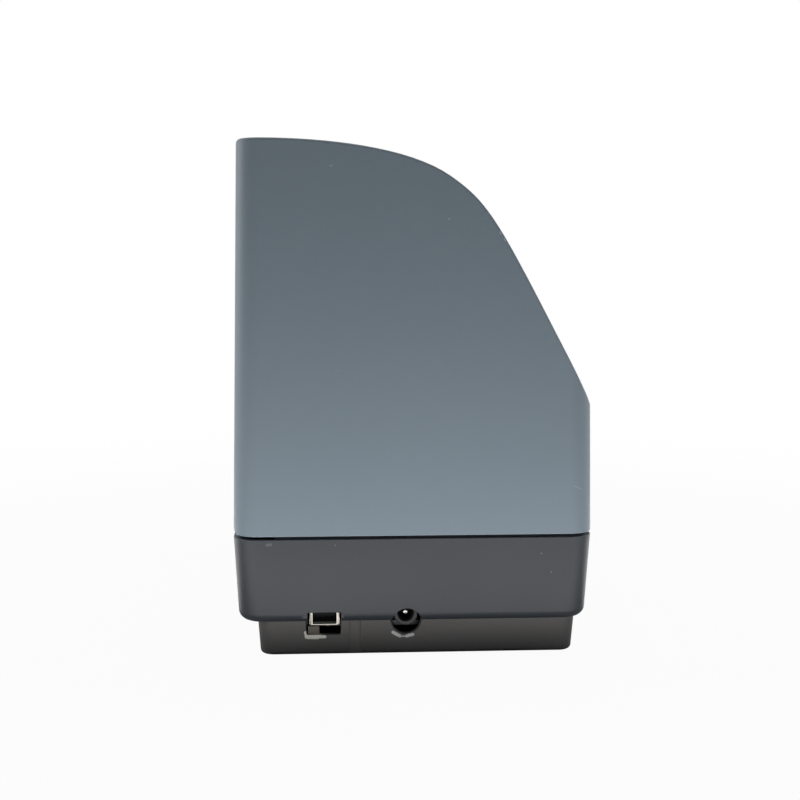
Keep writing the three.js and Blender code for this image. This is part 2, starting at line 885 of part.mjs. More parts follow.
function cartridgeHolderSolid() {
  const { holderWidth, holderWall, holderOuter, holderHeight, snoutBottom, snoutHeight } = cartridgeSize;
  const y = betweenStations(cartridgeSize.placeShare);
  const half = holderWidth / 2;
  const inner = holderFace();
  const cup = block(holderOuter, inner, y - half, y + half, guideBottom, guideBottom + holderHeight);
  const room = block(holderOuter + holderWall, inner - holderWall, y - half + holderWall,
    y + half - holderWall, guideBottom + holderWall, guideBottom + holderHeight + overrun);
  const mouth = block(inner - holderWall * 2, inner + overrun, y - holderWidth / 4 - clearance,
    y + holderWidth / 4 + clearance, snoutBottom - clearance, snoutBottom + snoutHeight + clearance);
  return cup.subtract(room).subtract(mouth);
}

function inkCartridgeSolid() {
  const { holderWidth, holderWall, holderOuter, bodyHeight, snoutBottom, snoutHeight } = cartridgeSize;
  const y = betweenStations(cartridgeSize.placeShare);
  const skin = holderWall + clearance;
  const half = holderWidth / 2 - skin;
  const bottom = guideBottom + skin;
  const body = prism(
    roundedPlan(holderOuter + skin, holderFace() - skin, y - half, y + half, skin),
    bottom,
    bottom + bodyHeight,
  );
  const snout = block(holderFace() - skin * 2, laneSize.exitX - laneSize.halfGap, y - holderWidth / 4,
    y + holderWidth / 4, snoutBottom, snoutBottom + snoutHeight);
  const nick = holderOuter + skin;
  const grip = block(nick - overrun, nick + skin / 2, y - half / 2, y + half / 2,
    bottom + bodyHeight - cartridgeSize.lipHeight * 2, bottom + bodyHeight - cartridgeSize.lipHeight);
  return body.add(snout).subtract(grip);
}

function imagerSolid(side) {
  const { face, back, y0, y1 } = imagerPlace(side);
  const glass = imagerSize.glassThickness + clearance;
  const start = face + side * glass;
  const body = block(Math.min(start, back), Math.max(start, back), y0, y1, imagerSize.bottom, imagerSize.top);
  const rail = imagerSize.glassInset - clearance;
  const rails = [[y0, y0 + rail], [y1 - rail, y1]].map(([a, b]) => block(
    Math.min(face, start + side * clearance), Math.max(face, start + side * clearance), a, b,
    imagerSize.bottom, imagerSize.top,
  ));
  return union([body, ...rails]);
}

function imagerGlassSolid(side) {
  const { face, y0, y1 } = imagerPlace(side);
  const back = face + side * imagerSize.glassThickness;
  const { glassInset, bottom, top } = imagerSize;
  return block(Math.min(face, back), Math.max(face, back), y0 + glassInset, y1 - glassInset, bottom, top);
}

function pinchPlace({ laneX, side, y }) {
  const rollerX = laneX + side * (pinchSize.radius + clearance);
  const postX = rollerX + side * pinchSize.postOut;
  return { rollerX, postX, rollerY: y, postY: y + pinchSize.armReach };
}

function bedSolid() {
  const { left, right, cornerRadius, ribHeight } = bedSize;
  const front = -halfLength + bedSize.frontInset;
  const back = halfLength - bedSize.backInset;
  const plate = prism(roundedPlan(left, right, front, back, cornerRadius), bedBottom, bedTop);
  const posts = stations.map((station) => {
    const { postX, postY } = pinchPlace(station);
    return rod(pinchSize.postRadius, postX, postY, bedTop - clearance, pinchSize.postTop, smallSides);
  });
  const sockets = stations.map(({ axisX, y }) => rod(driveSize.bearingRadius, axisX, y,
    bedTop - bedSize.bearingDepth, bedTop + overrun));
  const reliefs = screwPlaces().map(([x, y]) => rod(tubSize.bossRadius + clearance, x, y, 0, bedTop + overrun,
    smallSides));
  const inside = laneSize.wall + laneSize.halfGap + clearance;
  const keel = block(
    turnX - bedSize.thickness, turnX + bedSize.thickness, turnY, back - inside,
    bedTop - clearance, bedTop + ribHeight,
  );
  return cutAll(union([plate, keel, ...posts]), [...sockets, ...reliefs]);
}

function bridgeSolid() {
  const { cornerRadius, thickness, screwRadius } = bridgeSize;
  const front = -halfLength + bridgeSize.frontInset;
  const back = halfLength - bridgeSize.backInset;
  const reach = laneSize.halfGap + laneSize.wall;
  const left = laneSize.exitX + laneSize.halfGap;
  const right = laneSize.entryX - laneSize.halfGap;
  const plate = prism(roundedPlan(left, right, front, back, cornerRadius), bridgeBottom, bridgeTop);
  const holes = stations.map(({ axisX, y }) => rod(driveSize.bearingRadius, axisX, y, bridgeBottom - overrun,
    bridgeTop + overrun, smallSides));
  const screws = [left + reach * 2, right - reach * 2].flatMap((x) => [front + cornerRadius, 0].map((y) => rod(
    screwRadius, x, y, bridgeTop - thickness / 2, bridgeTop + overrun, smallSides,
  )));
  const neck = rod(motorSize.neckRadius + clearance, turnX, motorY, bridgeBottom - overrun,
    bridgeTop + overrun);
  return cutAll(plate, [...holes, ...screws, neck]);
}

function motorSolid() {
  const { radius, height: tall, neckRadius, lidRadius, lidHeight, boreRadius, boreDepth } = motorSize;
  const top = bridgeBottom - clearance;
  const neckTop = bridgeTop - clearance;
  return turned([
    [0, top - tall], [lidRadius, top - tall], [lidRadius, top - tall + lidHeight],
    [radius, top - tall + lidHeight], [radius, top], [neckRadius, top], [neckRadius, neckTop],
    [boreRadius, neckTop], [boreRadius, neckTop - boreDepth], [0, neckTop - boreDepth],
  ], largeSides);
}

function pulleyProfile(bore, bottom) {
  const { pulleyRadius, pulleyHeight, flangeRadius, flangeHeight } = driveSize;
  const top = bottom + pulleyHeight;
  return [
    [bore, bottom], [flangeRadius, bottom], [flangeRadius, bottom + flangeHeight],
    [pulleyRadius, bottom + flangeHeight], [pulleyRadius, top], [bore, top], [bore, bottom],
  ];
}

function motorPulleySolid() {
  const { shaftRadius, boreDepth } = motorSize;
  const bottom = bridgeTop + clearance;
  const shaftBottom = bridgeTop - boreDepth;
  const profile = pulleyProfile(0, bottom).slice(1, -2);
  return turned([
    [0, shaftBottom], [shaftRadius, shaftBottom], [shaftRadius, bottom], ...profile,
    [0, bottom + driveSize.pulleyHeight],
  ]);
}

function driveTyreSolid() {
  const { tyreRadius, sleeveRadius, tyreBore, lowBand, highBand, bandHeight } = driveSize;
  return turned([
    [tyreBore, lowBand], [tyreRadius, lowBand], [tyreRadius, lowBand + bandHeight],
    [sleeveRadius, lowBand + bandHeight], [sleeveRadius, highBand], [tyreRadius, highBand],
    [tyreRadius, highBand + bandHeight], [tyreBore, highBand + bandHeight], [tyreBore, lowBand],
  ]);
}

function driveShaftSolid() {
  const bottom = bedTop - bedSize.bearingDepth + clearance;
  return rod(driveSize.shaftRadius - clearance / 2, 0, 0, bottom, driveSize.shaftTop, smallSides);
}

// The loop that a belt takes round equal pulleys at the corners of a convex outline
function beltLoop(centres, radius, path) {
  const count = centres.length;
  centres.forEach((centre, i) => {
    const before = centre.clone().sub(centres[(i + count - 1) % count]).angle() - Math.PI / 2;
    const after = centres[(i + 1) % count].clone().sub(centre).angle() - Math.PI / 2;
    path.absarc(centre.x, centre.y, radius, before, after);
  });
  return path;
}

function beltSolid() {
  const points = [
    [exitAxisX, nearStation], [entryAxisX, nearStation], [entryAxisX, farStation], [turnX, motorY],
    [exitAxisX, farStation],
  ];
  const centres = points.map(([x, y]) => new THREE.Vector2(x, y));
  const inner = driveSize.pulleyRadius + clearance;
  const shape = beltLoop(centres, inner + beltSize.thickness, new THREE.Shape());
  shape.holes.push(beltLoop(centres, inner, new THREE.Path()));
  const bottom = bridgeTop + clearance + beltSize.lift;
  return prism(shape, bottom, bottom + beltSize.height);
}

// Local to its post: a tube, two plates and the roller's pin, for a lane on the given side
function pinchArmSolid(side) {
  const { armReach, postOut, tubeRadius, tubeBore, plateThickness, plateHalfWidth, pinRadius } = pinchSize;
  const { webThickness, webShare, webRootShare } = pinchSize;
  const low = driveSize.lowBand - driveSize.windowMargin;
  const high = driveSize.highBand + driveSize.bandHeight + driveSize.windowMargin;
  const rollerX = -side * postOut;
  const plate = (z) => {
    const shape = new THREE.Shape();
    shape.moveTo(rollerX - plateHalfWidth, -armReach);
    shape.absarc(rollerX, -armReach, plateHalfWidth, Math.PI, 0);
    shape.lineTo(plateHalfWidth, 0);
    shape.lineTo(-plateHalfWidth, 0);
    return prism(shape, z, z + plateThickness);
  };
  const pin = rod(pinRadius, rollerX, -armReach, low - plateThickness, high + plateThickness, smallSides);
  const hub = tube(tubeRadius, tubeBore, low - plateThickness, high + plateThickness, mediumSides);
  const web = block(
    -webThickness / 2, webThickness / 2, -armReach * webShare, -tubeRadius * webRootShare,
    low - plateThickness, high + plateThickness,
  );
  const plates = [plate(low - plateThickness), plate(high)];
  const bore = rod(tubeBore, 0, 0, low - overrun, high + overrun, mediumSides);
  return union([...plates, pin, web]).subtract(bore).add(hub);
}

function pinchRollerSolid() {
  const { radius, hubRadius, bore } = pinchSize;
  const { lowBand, highBand, bandHeight } = driveSize;
  return turned([
    [bore, lowBand], [radius, lowBand], [radius, lowBand + bandHeight], [hubRadius, lowBand + bandHeight],
    [hubRadius, highBand], [radius, highBand], [radius, highBand + bandHeight],
    [bore, highBand + bandHeight], [bore, lowBand],
  ], mediumSides);
}

function boardSolid() {
  const { thickness, top, standInset } = boardSize;
  const plate = block(boardLeft, boardRight, boardFront, boardBack, top - thickness, top);
  const corners = screwPlaces().filter(([, y]) => y < 0).map(([x, y]) => rod(
    tubSize.bossRadius + clearance, x, y, 0, ledgeHeight + overrun, smallSides,
  ));
  const notchEnd = -halfLength + screwSize.endInset + tubSize.bossRadius + clearance;
  const notch = [boardLeft, boardRight].map((x) => block(x - standInset, x + standInset, boardFront - overrun,
    notchEnd, 0, ledgeHeight + overrun));
  return cutAll(plate, [...corners, ...notch]);
}

function usbShellSolid() {
  const { width: across, height: tall, depth, wall, mouthDepth } = usbSize;
  const bottom = boardSize.top + clearance;
  const outer = block(usbX - across / 2, usbX + across / 2, usbFace, usbFace + depth, bottom, bottom + tall);
  const mouth = block(usbX - across / 2 + wall, usbX + across / 2 - wall, usbFace - overrun,
    usbFace + mouthDepth, bottom + wall, bottom + tall - wall);
  return outer.subtract(mouth);
}

function usbTongueSolid() {
  const { tongueWidth, tongueHeight, mouthDepth, height: tall, wall } = usbSize;
  const middle = boardSize.top + clearance + tall / 2;
  return block(usbX - tongueWidth / 2, usbX + tongueWidth / 2, usbFace + wall * 2,
    usbFace + mouthDepth - clearance, middle - tongueHeight / 2, middle + tongueHeight / 2);
}

function jackSolid() {
  const { z, barrelRadius, boreRadius, depth, bodyHalfWidth, bodyTop, collarLength } = jackSize;
  const bottom = boardSize.top + clearance;
  const back = jackFace + depth;
  const collarBack = jackFace + collarLength;
  const body = block(jackX - bodyHalfWidth, jackX + bodyHalfWidth, collarBack, back, bottom, bodyTop);
  const barrel = rodAlongY(barrelRadius, jackX, z, jackFace, collarBack + clearance);
  const bore = rodAlongY(boreRadius, jackX, z, jackFace - overrun, back - collarLength, smallSides);
  return body.add(barrel).subtract(bore);
}

function jackPinSolid() {
  const { z, pinRadius, pinBack, depth, collarLength } = jackSize;
  const back = jackFace + depth - collarLength - clearance;
  return rodAlongY(pinRadius, jackX, z, jackFace + pinBack, back, smallSides);
}

function driverBoardSolid() {
  const { x, frontInset, back, bottom, top, thickness } = driverBoardSize;
  return block(x, x + thickness, -halfLength + frontInset, back, bottom, top);
}

function capacitorSolid() {
  const { radius, height: tall } = capacitorSize;
  const lid = radius * capacitorSize.lidShare;
  const rim = radius * capacitorSize.rimShare;
  return turned([
    [0, 0], [radius, 0], [radius, tall - rim], [lid, tall], [lid - rim, tall - rim / 2], [0, tall - rim / 2],
  ]);
}

function footSolid() {
  return turned([
    [0, 0], [footSize.radius * footSize.soleShare, 0], [footSize.radius, footSize.thickness / 3],
    [footSize.radius, footSize.thickness], [0, footSize.thickness],
  ], mediumSides);
}

function screwSolid() {
  const { headRadius, headHeight, crownShare, rimShare, shankRadius, shankTop } = screwSize;
  const seat = plinthBottom + plinthSize.floor;
  return turned([
    [0, seat - headHeight], [headRadius * crownShare, seat - headHeight],
    [headRadius, seat - headHeight * rimShare],
    [headRadius, seat], [shankRadius, seat], [shankRadius, shankTop - shankRadius], [0, shankTop],
  ], smallSides);
}

function lampSolid() {
  const { z, radius, flangeRadius, flangeThickness } = lampSize;
  const face = halfLength - tubSize.taperShare * (rimHeight - z);
  const inner = face - tubSize.wall - clearance * 2;
  const lens = rodAlongY(radius, lampX, z, inner - flangeThickness, face - clearance, smallSides);
  return lens.add(rodAlongY(flangeRadius, lampX, z, inner - flangeThickness, inner, smallSides));
}

const scanner = new THREE.Group();

function addPiece(name, manifold, colour, roughness, metalness, parent = scanner) {
  const material = new THREE.MeshStandardMaterial({ color: colour, roughness, metalness });
  const mesh = new THREE.Mesh(geometryOf(manifold), material);
  mesh.name = name;
  parent.add(mesh);
  return mesh;
}

function addHousing() {
  addPiece('plinth_pan', plinthSolid(), colours.plinth, 0.6, 0);
  addPiece('base_tub', tubSolid(), colours.tub, 0.55, 0);
  addPiece('hood', hoodSolid(), colours.hood, 0.45, 0);
  addPiece('hinge_rod', rodAlongY(hingeSize.rodRadius, pivotX, pivotZ, -hingeSpan / 2, hingeSpan / 2,
    smallSides), colours.steel, 0.3, 0.9);
  addPiece('status_lamp', lampSolid(), colours.lamp, 0.2, 0);
  footPlaces().forEach(([x, y], i) => {
    addPiece(`foot_${i + 1}`, footSolid(), colours.rubber, 0.9, 0).position.set(x, y, 0);
  });
  screwPlaces().forEach(([x, y], i) => {
    addPiece(`case_screw_${i + 1}`, screwSolid(), colours.steel, 0.35, 0.9).position.set(x, y, 0);
  });
}

function addElectronics() {
  addPiece('main_board', boardSolid(), colours.board, 0.5, 0);
  addPiece('usb_shell', usbShellSolid(), colours.contact, 0.25, 0.95);
  addPiece('usb_tongue', usbTongueSolid(), colours.white, 0.5, 0);
  addPiece('power_jack', jackSolid(), colours.black, 0.45, 0);
  addPiece('power_jack_pin', jackPinSolid(), colours.contact, 0.2, 0.95);
  addPiece('driver_board', driverBoardSolid(), colours.board, 0.5, 0);
  const { x, bottom, thickness } = driverBoardSize;
  const { radius, rollerGap, pitch, standOff } = capacitorSize;
  const last = nearStation - pinchSize.radius - rollerGap - radius;
  [last - pitch, last].forEach((y, i) => {
    const stand = new THREE.Group();
    stand.position.set(x + thickness + standOff, y, bottom + radius * 3);
    stand.rotation.y = Math.PI / 2;
    scanner.add(stand);
    addPiece(`capacitor_${i + 1}`, capacitorSolid(), colours.ink, 0.35, 0.2, stand);
  });
}

function addPaperPath() {
  addPiece('track_bed', bedSolid(), colours.bed, 0.55, 0);
  addPiece('inner_guide', guideSolid(-1), colours.guide, 0.5, 0);
  addPiece('outer_guide', guideSolid(1), colours.guide, 0.5, 0);
  addPiece('top_bridge', bridgeSolid(), colours.steel, 0.4, 0.85);
  addPiece('front_imager', imagerSolid(1), colours.black, 0.4, 0);
  addPiece('front_imager_glass', imagerGlassSolid(1), colours.glass, 0.05, 0);
  addPiece('rear_imager', imagerSolid(-1), colours.black, 0.4, 0);
  addPiece('rear_imager_glass', imagerGlassSolid(-1), colours.glass, 0.05, 0);
  addPiece('magnetic_head', readHeadSolid(), colours.brass, 0.3, 0.9);
  addPiece('magnetic_head_spring', readHeadSpringSolid(), colours.steel, 0.3, 0.9);
  addPiece('cartridge_holder', cartridgeHolderSolid(), colours.guide, 0.5, 0);
  addPiece('ink_cartridge', inkCartridgeSolid(), colours.ink, 0.4, 0);
}

function addDrive() {
  addPiece('motor', motorSolid(), colours.steel, 0.35, 0.9).position.set(turnX, motorY, 0);
  addPiece('motor_pulley', motorPulleySolid(), colours.contact, 0.3, 0.9).position.set(turnX, motorY, 0);
  addPiece('drive_belt', beltSolid(), colours.rubber, 0.8, 0);
  stations.forEach(({ axisX, y }, i) => {
    const spindle = new THREE.Group();
    spindle.position.set(axisX, y, 0);
    scanner.add(spindle);
    addPiece(`drive_shaft_${i + 1}`, driveShaftSolid(), colours.steel, 0.25, 0.95, spindle);
    addPiece(`drive_tyre_${i + 1}`, driveTyreSolid(), colours.rubber, 0.85, 0, spindle);
    const pulley = turned(pulleyProfile(driveSize.tyreBore, bridgeTop + clearance), mediumSides);
    addPiece(`drive_pulley_${i + 1}`, pulley, colours.contact, 0.3, 0.9, spindle);
  });
}

function addPinchRollers() {
  stations.forEach((station, i) => {
    const { rollerX, postX, rollerY, postY } = pinchPlace(station);
    const arm = new THREE.Group();
    arm.position.set(postX, postY, 0);
    scanner.add(arm);
    addPiece(`pinch_arm_${i + 1}`, pinchArmSolid(station.side), colours.bed, 0.5, 0, arm);
    const roller = addPiece(`pinch_roller_${i + 1}`, pinchRollerSolid(), colours.rubber, 0.8, 0, arm);
    roller.position.set(rollerX - postX, rollerY - postY, 0);
  });
}

addHousing();
addElectronics();
addPaperPath();
addDrive();
addPinchRollers();

export default scanner;
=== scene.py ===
import math
import random

import bpy
from mathutils import Matrix, Vector
from mathutils.geometry import interpolate_bezier


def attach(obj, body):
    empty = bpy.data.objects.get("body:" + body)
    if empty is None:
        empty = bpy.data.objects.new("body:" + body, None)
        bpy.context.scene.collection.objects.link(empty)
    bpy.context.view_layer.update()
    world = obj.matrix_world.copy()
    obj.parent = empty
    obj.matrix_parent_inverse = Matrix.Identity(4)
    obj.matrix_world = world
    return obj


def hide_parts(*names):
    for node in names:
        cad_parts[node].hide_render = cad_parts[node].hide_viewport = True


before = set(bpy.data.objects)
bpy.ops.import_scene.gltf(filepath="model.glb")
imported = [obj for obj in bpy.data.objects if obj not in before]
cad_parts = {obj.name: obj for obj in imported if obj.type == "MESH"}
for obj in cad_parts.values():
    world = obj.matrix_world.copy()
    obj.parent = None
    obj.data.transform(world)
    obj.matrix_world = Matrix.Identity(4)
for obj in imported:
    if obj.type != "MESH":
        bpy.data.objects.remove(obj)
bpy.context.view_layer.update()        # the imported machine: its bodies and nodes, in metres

# Desktop cheque scanner. Sizes in the dictionaries are millimetres, +Z up, the sockets face -Y.
mm = 0.001
random.seed(11)


# handling pieces

def deselect():
    if bpy.context.object and bpy.context.object.mode != "OBJECT":
        bpy.ops.object.mode_set(mode="OBJECT")
    bpy.ops.object.select_all(action="DESELECT")


def activate(piece):
    deselect()
    piece.select_set(True)
    bpy.context.view_layer.objects.active = piece


def settle(piece, name):
    activate(piece)
    bpy.ops.object.transform_apply(location=True, rotation=True, scale=True)
    piece.name = piece.data.name = name
    return piece


def pick(piece, kind, test):  # selects by place, and leaves the piece in edit mode
    activate(piece)
    bpy.ops.object.mode_set(mode="EDIT")
    bpy.ops.mesh.select_mode(type=kind)
    bpy.ops.mesh.select_all(action="DESELECT")
    bpy.ops.object.mode_set(mode="OBJECT")
    mesh = piece.data
    if kind == "FACE":
        for face in mesh.polygons:
            face.select = bool(test(face.center / mm, face.normal))
    elif kind == "EDGE":
        for edge in mesh.edges:
            edge.select = bool(test(*(mesh.vertices[i].co / mm for i in edge.vertices)))
    else:
        for vertex in mesh.vertices:
            vertex.select = bool(test(vertex.co / mm))
    bpy.ops.object.mode_set(mode="EDIT")


def bevelEdges(piece, test, width, segments):
    pick(piece, "EDGE", test)
    bpy.ops.mesh.bevel(offset=width * mm, segments=segments, affect="EDGES", clamp_overlap=True)
    deselect()
    return piece


def bevelSharp(piece, width, angle):
    activate(piece)
    step = piece.modifiers.new("edges", "BEVEL")
    step.width, step.segments = width * mm, 2
    step.limit_method, step.angle_limit = "ANGLE", math.radians(angle)
    bpy.ops.object.modifier_apply(modifier=step.name)


def bevelWeighed(piece, rule, width, segments):  # rule gives each edge its share of the width
    weights = piece.data.attributes.new("bevel_weight_edge", "FLOAT", "EDGE")
    vertices = piece.data.vertices
    for edge in piece.data.edges:
        weights.data[edge.index].value = rule(*(vertices[i].co / mm for i in edge.vertices))
    activate(piece)
    step = piece.modifiers.new("edges", "BEVEL")
    step.width, step.segments = width * mm, segments
    step.limit_method, step.use_clamp_overlap = "WEIGHT", False
    bpy.ops.object.modifier_apply(modifier=step.name)
    piece.data.attributes.remove(piece.data.attributes["bevel_weight_edge"])


def block(name, low, high):
    deselect()
    low, high = Vector(low) * mm, Vector(high) * mm
    bpy.ops.mesh.primitive_cube_add(size=1, location=(low + high) / 2)
    bpy.context.object.scale = high - low
    return settle(bpy.context.object, name)


def softBlock(name, low, high, radius, segments=2):
    return bevelEdges(block(name, low, high), lambda a, b: True, radius, segments)


def cornerBlock(name, low, high, radius, segments=6, along=2):  # rounded only round one axis
    piece = block(name, low, high)
    return bevelEdges(piece, lambda a, b: abs(a[along] - b[along]) > 0.01, radius, segments)


def rod(name, radius, start, end, sides=32):
    deselect()
    start, end = Vector(start) * mm, Vector(end) * mm
    lie = (end - start).to_track_quat("Z", "Y").to_euler()
    bpy.ops.mesh.primitive_cylinder_add(vertices=sides, radius=radius * mm, depth=(end - start).length,
                                        location=(start + end) / 2, rotation=lie)
    return settle(bpy.context.object, name)


def uprights(name, radius, places, low, high, sides):  # equal rods on end
    return [rod(name, radius, (x, y, low), (x, y, high), sides) for x, y in places]


def turned(name, profile, place=(0, 0, 0), sides=40, axis="Z"):
    # rings of (radius, height), one after the other; a loop that ends where it starts has a bore
    deselect()
    radius, height = profile[0]
    bpy.ops.mesh.primitive_circle_add(vertices=sides, radius=radius * mm, location=(0, 0, height * mm))
    piece = settle(bpy.context.object, name)
    bpy.ops.object.mode_set(mode="EDIT")
    bpy.ops.mesh.select_mode(type="EDGE")
    bpy.ops.mesh.select_all(action="SELECT")
    for nextRadius, nextHeight in profile[1:]:
        bpy.ops.mesh.extrude_edges_move(TRANSFORM_OT_translate={"value": (0, 0, (nextHeight - height) * mm)})
        ratio = nextRadius / radius
        bpy.ops.transform.resize(value=(ratio, ratio, 1), center_override=(0, 0, nextHeight * mm))
        radius, height = nextRadius, nextHeight
    bpy.ops.mesh.select_all(action="SELECT")
    if profile[0] == profile[-1]:
        bpy.ops.mesh.remove_doubles(threshold=0.0005 * mm)
    else:
        bpy.ops.mesh.fill_holes(sides=0)
    bpy.ops.mesh.select_all(action="SELECT")
    bpy.ops.mesh.normals_make_consistent(inside=False)
    deselect()
    piece.rotation_euler = {"X": (0, math.pi / 2, 0), "Y": (-math.pi / 2, 0, 0), "Z": (0, 0, 0)}[axis]
    piece.location = Vector(place) * mm
    return settle(piece, name)


def combine(piece, tools, operation="DIFFERENCE"):
    for tool in tools:
        activate(piece)
        step = piece.modifiers.new("cut", "BOOLEAN")
        step.operation, step.solver, step.object = operation, "EXACT", tool
        bpy.ops.object.modifier_apply(modifier=step.name)
        bpy.data.objects.remove(tool)
    return piece


def join(pieces, name):
    activate(pieces[0])
    for other in pieces[1:]:
        other.select_set(True)
    bpy.ops.object.join()
    return settle(pieces[0], name)


def discard(*pieces):
    for piece in pieces:
        bpy.data.objects.remove(piece)


def below(height):  # picks the edges at or under a height, for a bevel
    return lambda a, b: max(a.z, b.z) < height + 0.1


def above(height):
    return lambda a, b: min(a.z, b.z) > height - 0.1


def cutBeyond(point, out, margin):  # cuts off and closes what the selected mesh has beyond a plane
    bpy.ops.mesh.bisect(plane_co=point * mm, plane_no=out, use_fill=True, clear_outer=True,
                        threshold=margin * mm)


def mergeClose(piece, distance=0.003):
    pick(piece, "VERT", lambda v: True)
    bpy.ops.mesh.remove_doubles(threshold=distance * mm)
    bpy.ops.mesh.dissolve_degenerate(threshold=distance * mm)
    deselect()


def copyOf(piece, name, move, turn=0):
    twin = piece.copy()
    twin.data = piece.data.copy()
    twin.name = twin.data.name = name
    bpy.context.scene.collection.objects.link(twin)
    twin.data.transform(Matrix.Translation(Vector(move) * mm) @ Matrix.Rotation(math.radians(turn), 4, "Z"))
    return twin


def present(piece, finish, body, *replaced, slotted=True, angle=32, weighted=False):
    mergeClose(piece)
    activate(piece)
    bpy.ops.object.shade_smooth_by_angle(angle=math.radians(angle))
    if weighted:  # flat faces stay flat and only their rounded edges turn
        step = piece.modifiers.new("normals", "WEIGHTED_NORMAL")
        step.keep_sharp, step.weight = True, 60
        bpy.ops.object.modifier_apply(modifier=step.name)
    piece.data.materials.clear()
    piece.data.materials.append(finishes[finish])
    deselect()
    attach(piece, body)
    if replaced:
        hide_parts(*replaced)


# shader maths

class Link:  # one output of a shader node, so that shader maths reads as plain sums
    def __init__(self, graph, socket):
        self.graph, self.socket = graph, socket

    def math(self, operation, *others):
        return self.graph.node("ShaderNodeMath", {"operation": operation}, (self,) + others)

    def __add__(self, other):
        return self.math("ADD", other)

    def __sub__(self, other):
        return self.math("SUBTRACT", other)

    def __mul__(self, other):
        return self.math("MULTIPLY", other)

    def __rsub__(self, other):
        return self.graph.node("ShaderNodeMath", {"operation": "SUBTRACT"}, (other, self))

    __radd__, __rmul__ = __add__, __mul__


class Graph:
    def __init__(self, owner):
        owner.use_nodes = True
        self.owner, self.tree = owner, owner.node_tree
        self.tree.nodes.clear()

    def node(self, kind, settings=None, inputs=(), output=0):
        made = self.tree.nodes.new(kind)
        for key, value in (settings or {}).items():
            setattr(made, key, value)
        for key, value in (inputs.items() if isinstance(inputs, dict) else enumerate(inputs)):
            if isinstance(value, Link):
                self.tree.links.new(value.socket, made.inputs[key])
            else:
                made.inputs[key].default_value = value
        return Link(self, made.outputs[output]) if len(made.outputs) else made

    def place(self):
        return self.node("ShaderNodeTexCoord", output="Object")

    def part(self, axis):
        return self.node("ShaderNodeSeparateXYZ", inputs=(self.place(),), output=axis)

    def stretched(self, scale):
        return self.node("ShaderNodeMapping", inputs={"Vector": self.place(), "Scale": scale})

    def vector(self, operation, *inputs, output="Value"):
        return self.node("ShaderNodeVectorMath", {"operation": operation}, inputs, output)

    def noise(self, scale, detail=2.0, roughness=0.5, where=None):
        where = where or self.place()
        return self.node("ShaderNodeTexNoise", inputs={"Vector": where, "Scale": scale, "Detail": detail,
                                                       "Roughness": roughness})

    def cells(self, scale):
        return self.node("ShaderNodeTexVoronoi", inputs={"Vector": self.place(), "Scale": scale})

    def fit(self, value, low, high, outLow=0.0, outHigh=1.0):
        return self.node("ShaderNodeMapRange", {"interpolation_type": "SMOOTHSTEP"},
                         (value, low, high, outLow, outHigh))

    def mix(self, factor, first, second):
        return self.node("ShaderNodeMix", {"data_type": "RGBA"}, {0: factor, 6: first, 7: second}, output=2)

    def edges(self, radius):  # 1 along corners and rims, 0 on open faces
        soft = self.node("ShaderNodeBevel", {"samples": 6}, {"Radius": radius * mm})
        true = self.node("ShaderNodeNewGeometry", output="True Normal")
        return self.fit((1 - self.vector("DOT_PRODUCT", soft, true)) * 2.4, 0.06, 0.6)

    def stroke(self, start, end, width):  # 1 along a short stroke drawn on the front, in mm across and up
        start, end = Vector((start[0], 0, start[1])) * mm, Vector((end[0], 0, end[1])) * mm
        flat = self.vector("MULTIPLY", self.place(), (1, 0, 1), output="Vector")
        reach = self.vector("SUBTRACT", flat, start, output="Vector")
        along = end - start
        share = self.vector("DOT_PRODUCT", reach, along)
        share = self.node("ShaderNodeClamp", inputs=(share * (1 / along.length_squared), 0.0, 1.0))
        foot = self.node("ShaderNodeVectorMath", {"operation": "SCALE"}, {0: along, "Scale": share})
        off = self.vector("DISTANCE", reach, foot)
        rough = self.noise(1900, 3) * width * 0.5 * mm
        front = self.fit(self.part("Y"), -0.0995, -0.1015)
        return self.fit(off + rough, width * 1.05 * mm, width * 0.75 * mm) * front

    def bump(self, height, depth, normal=None):
        inputs = {"Height": height, "Distance": depth * mm}
        if normal:
            inputs["Normal"] = normal
        return self.node("ShaderNodeBump", inputs=inputs)

    def finish(self, **values):
        names = {"colour": "Base Color", "roughness": "Roughness", "metallic": "Metallic", "normal": "Normal",
                 "coat": "Coat Weight", "coatRoughness": "Coat Roughness",
                 "transmission": "Transmission Weight"}
        surface = self.node("ShaderNodeBsdfPrincipled", inputs={names[k]: v for k, v in values.items()})
        self.node("ShaderNodeOutputMaterial", inputs=(surface,))
        return self.owner


def shade(*screen):  # screen values 0 to 255
    return tuple(c / 255 / 12.92 if c < 11 else ((c / 255 + 0.055) / 1.055) ** 2.4 for c in screen) + (1,)


def lighter(colour, gain):
    return tuple(min(c * gain, 1) for c in colour[:3]) + (1,)


# finishes

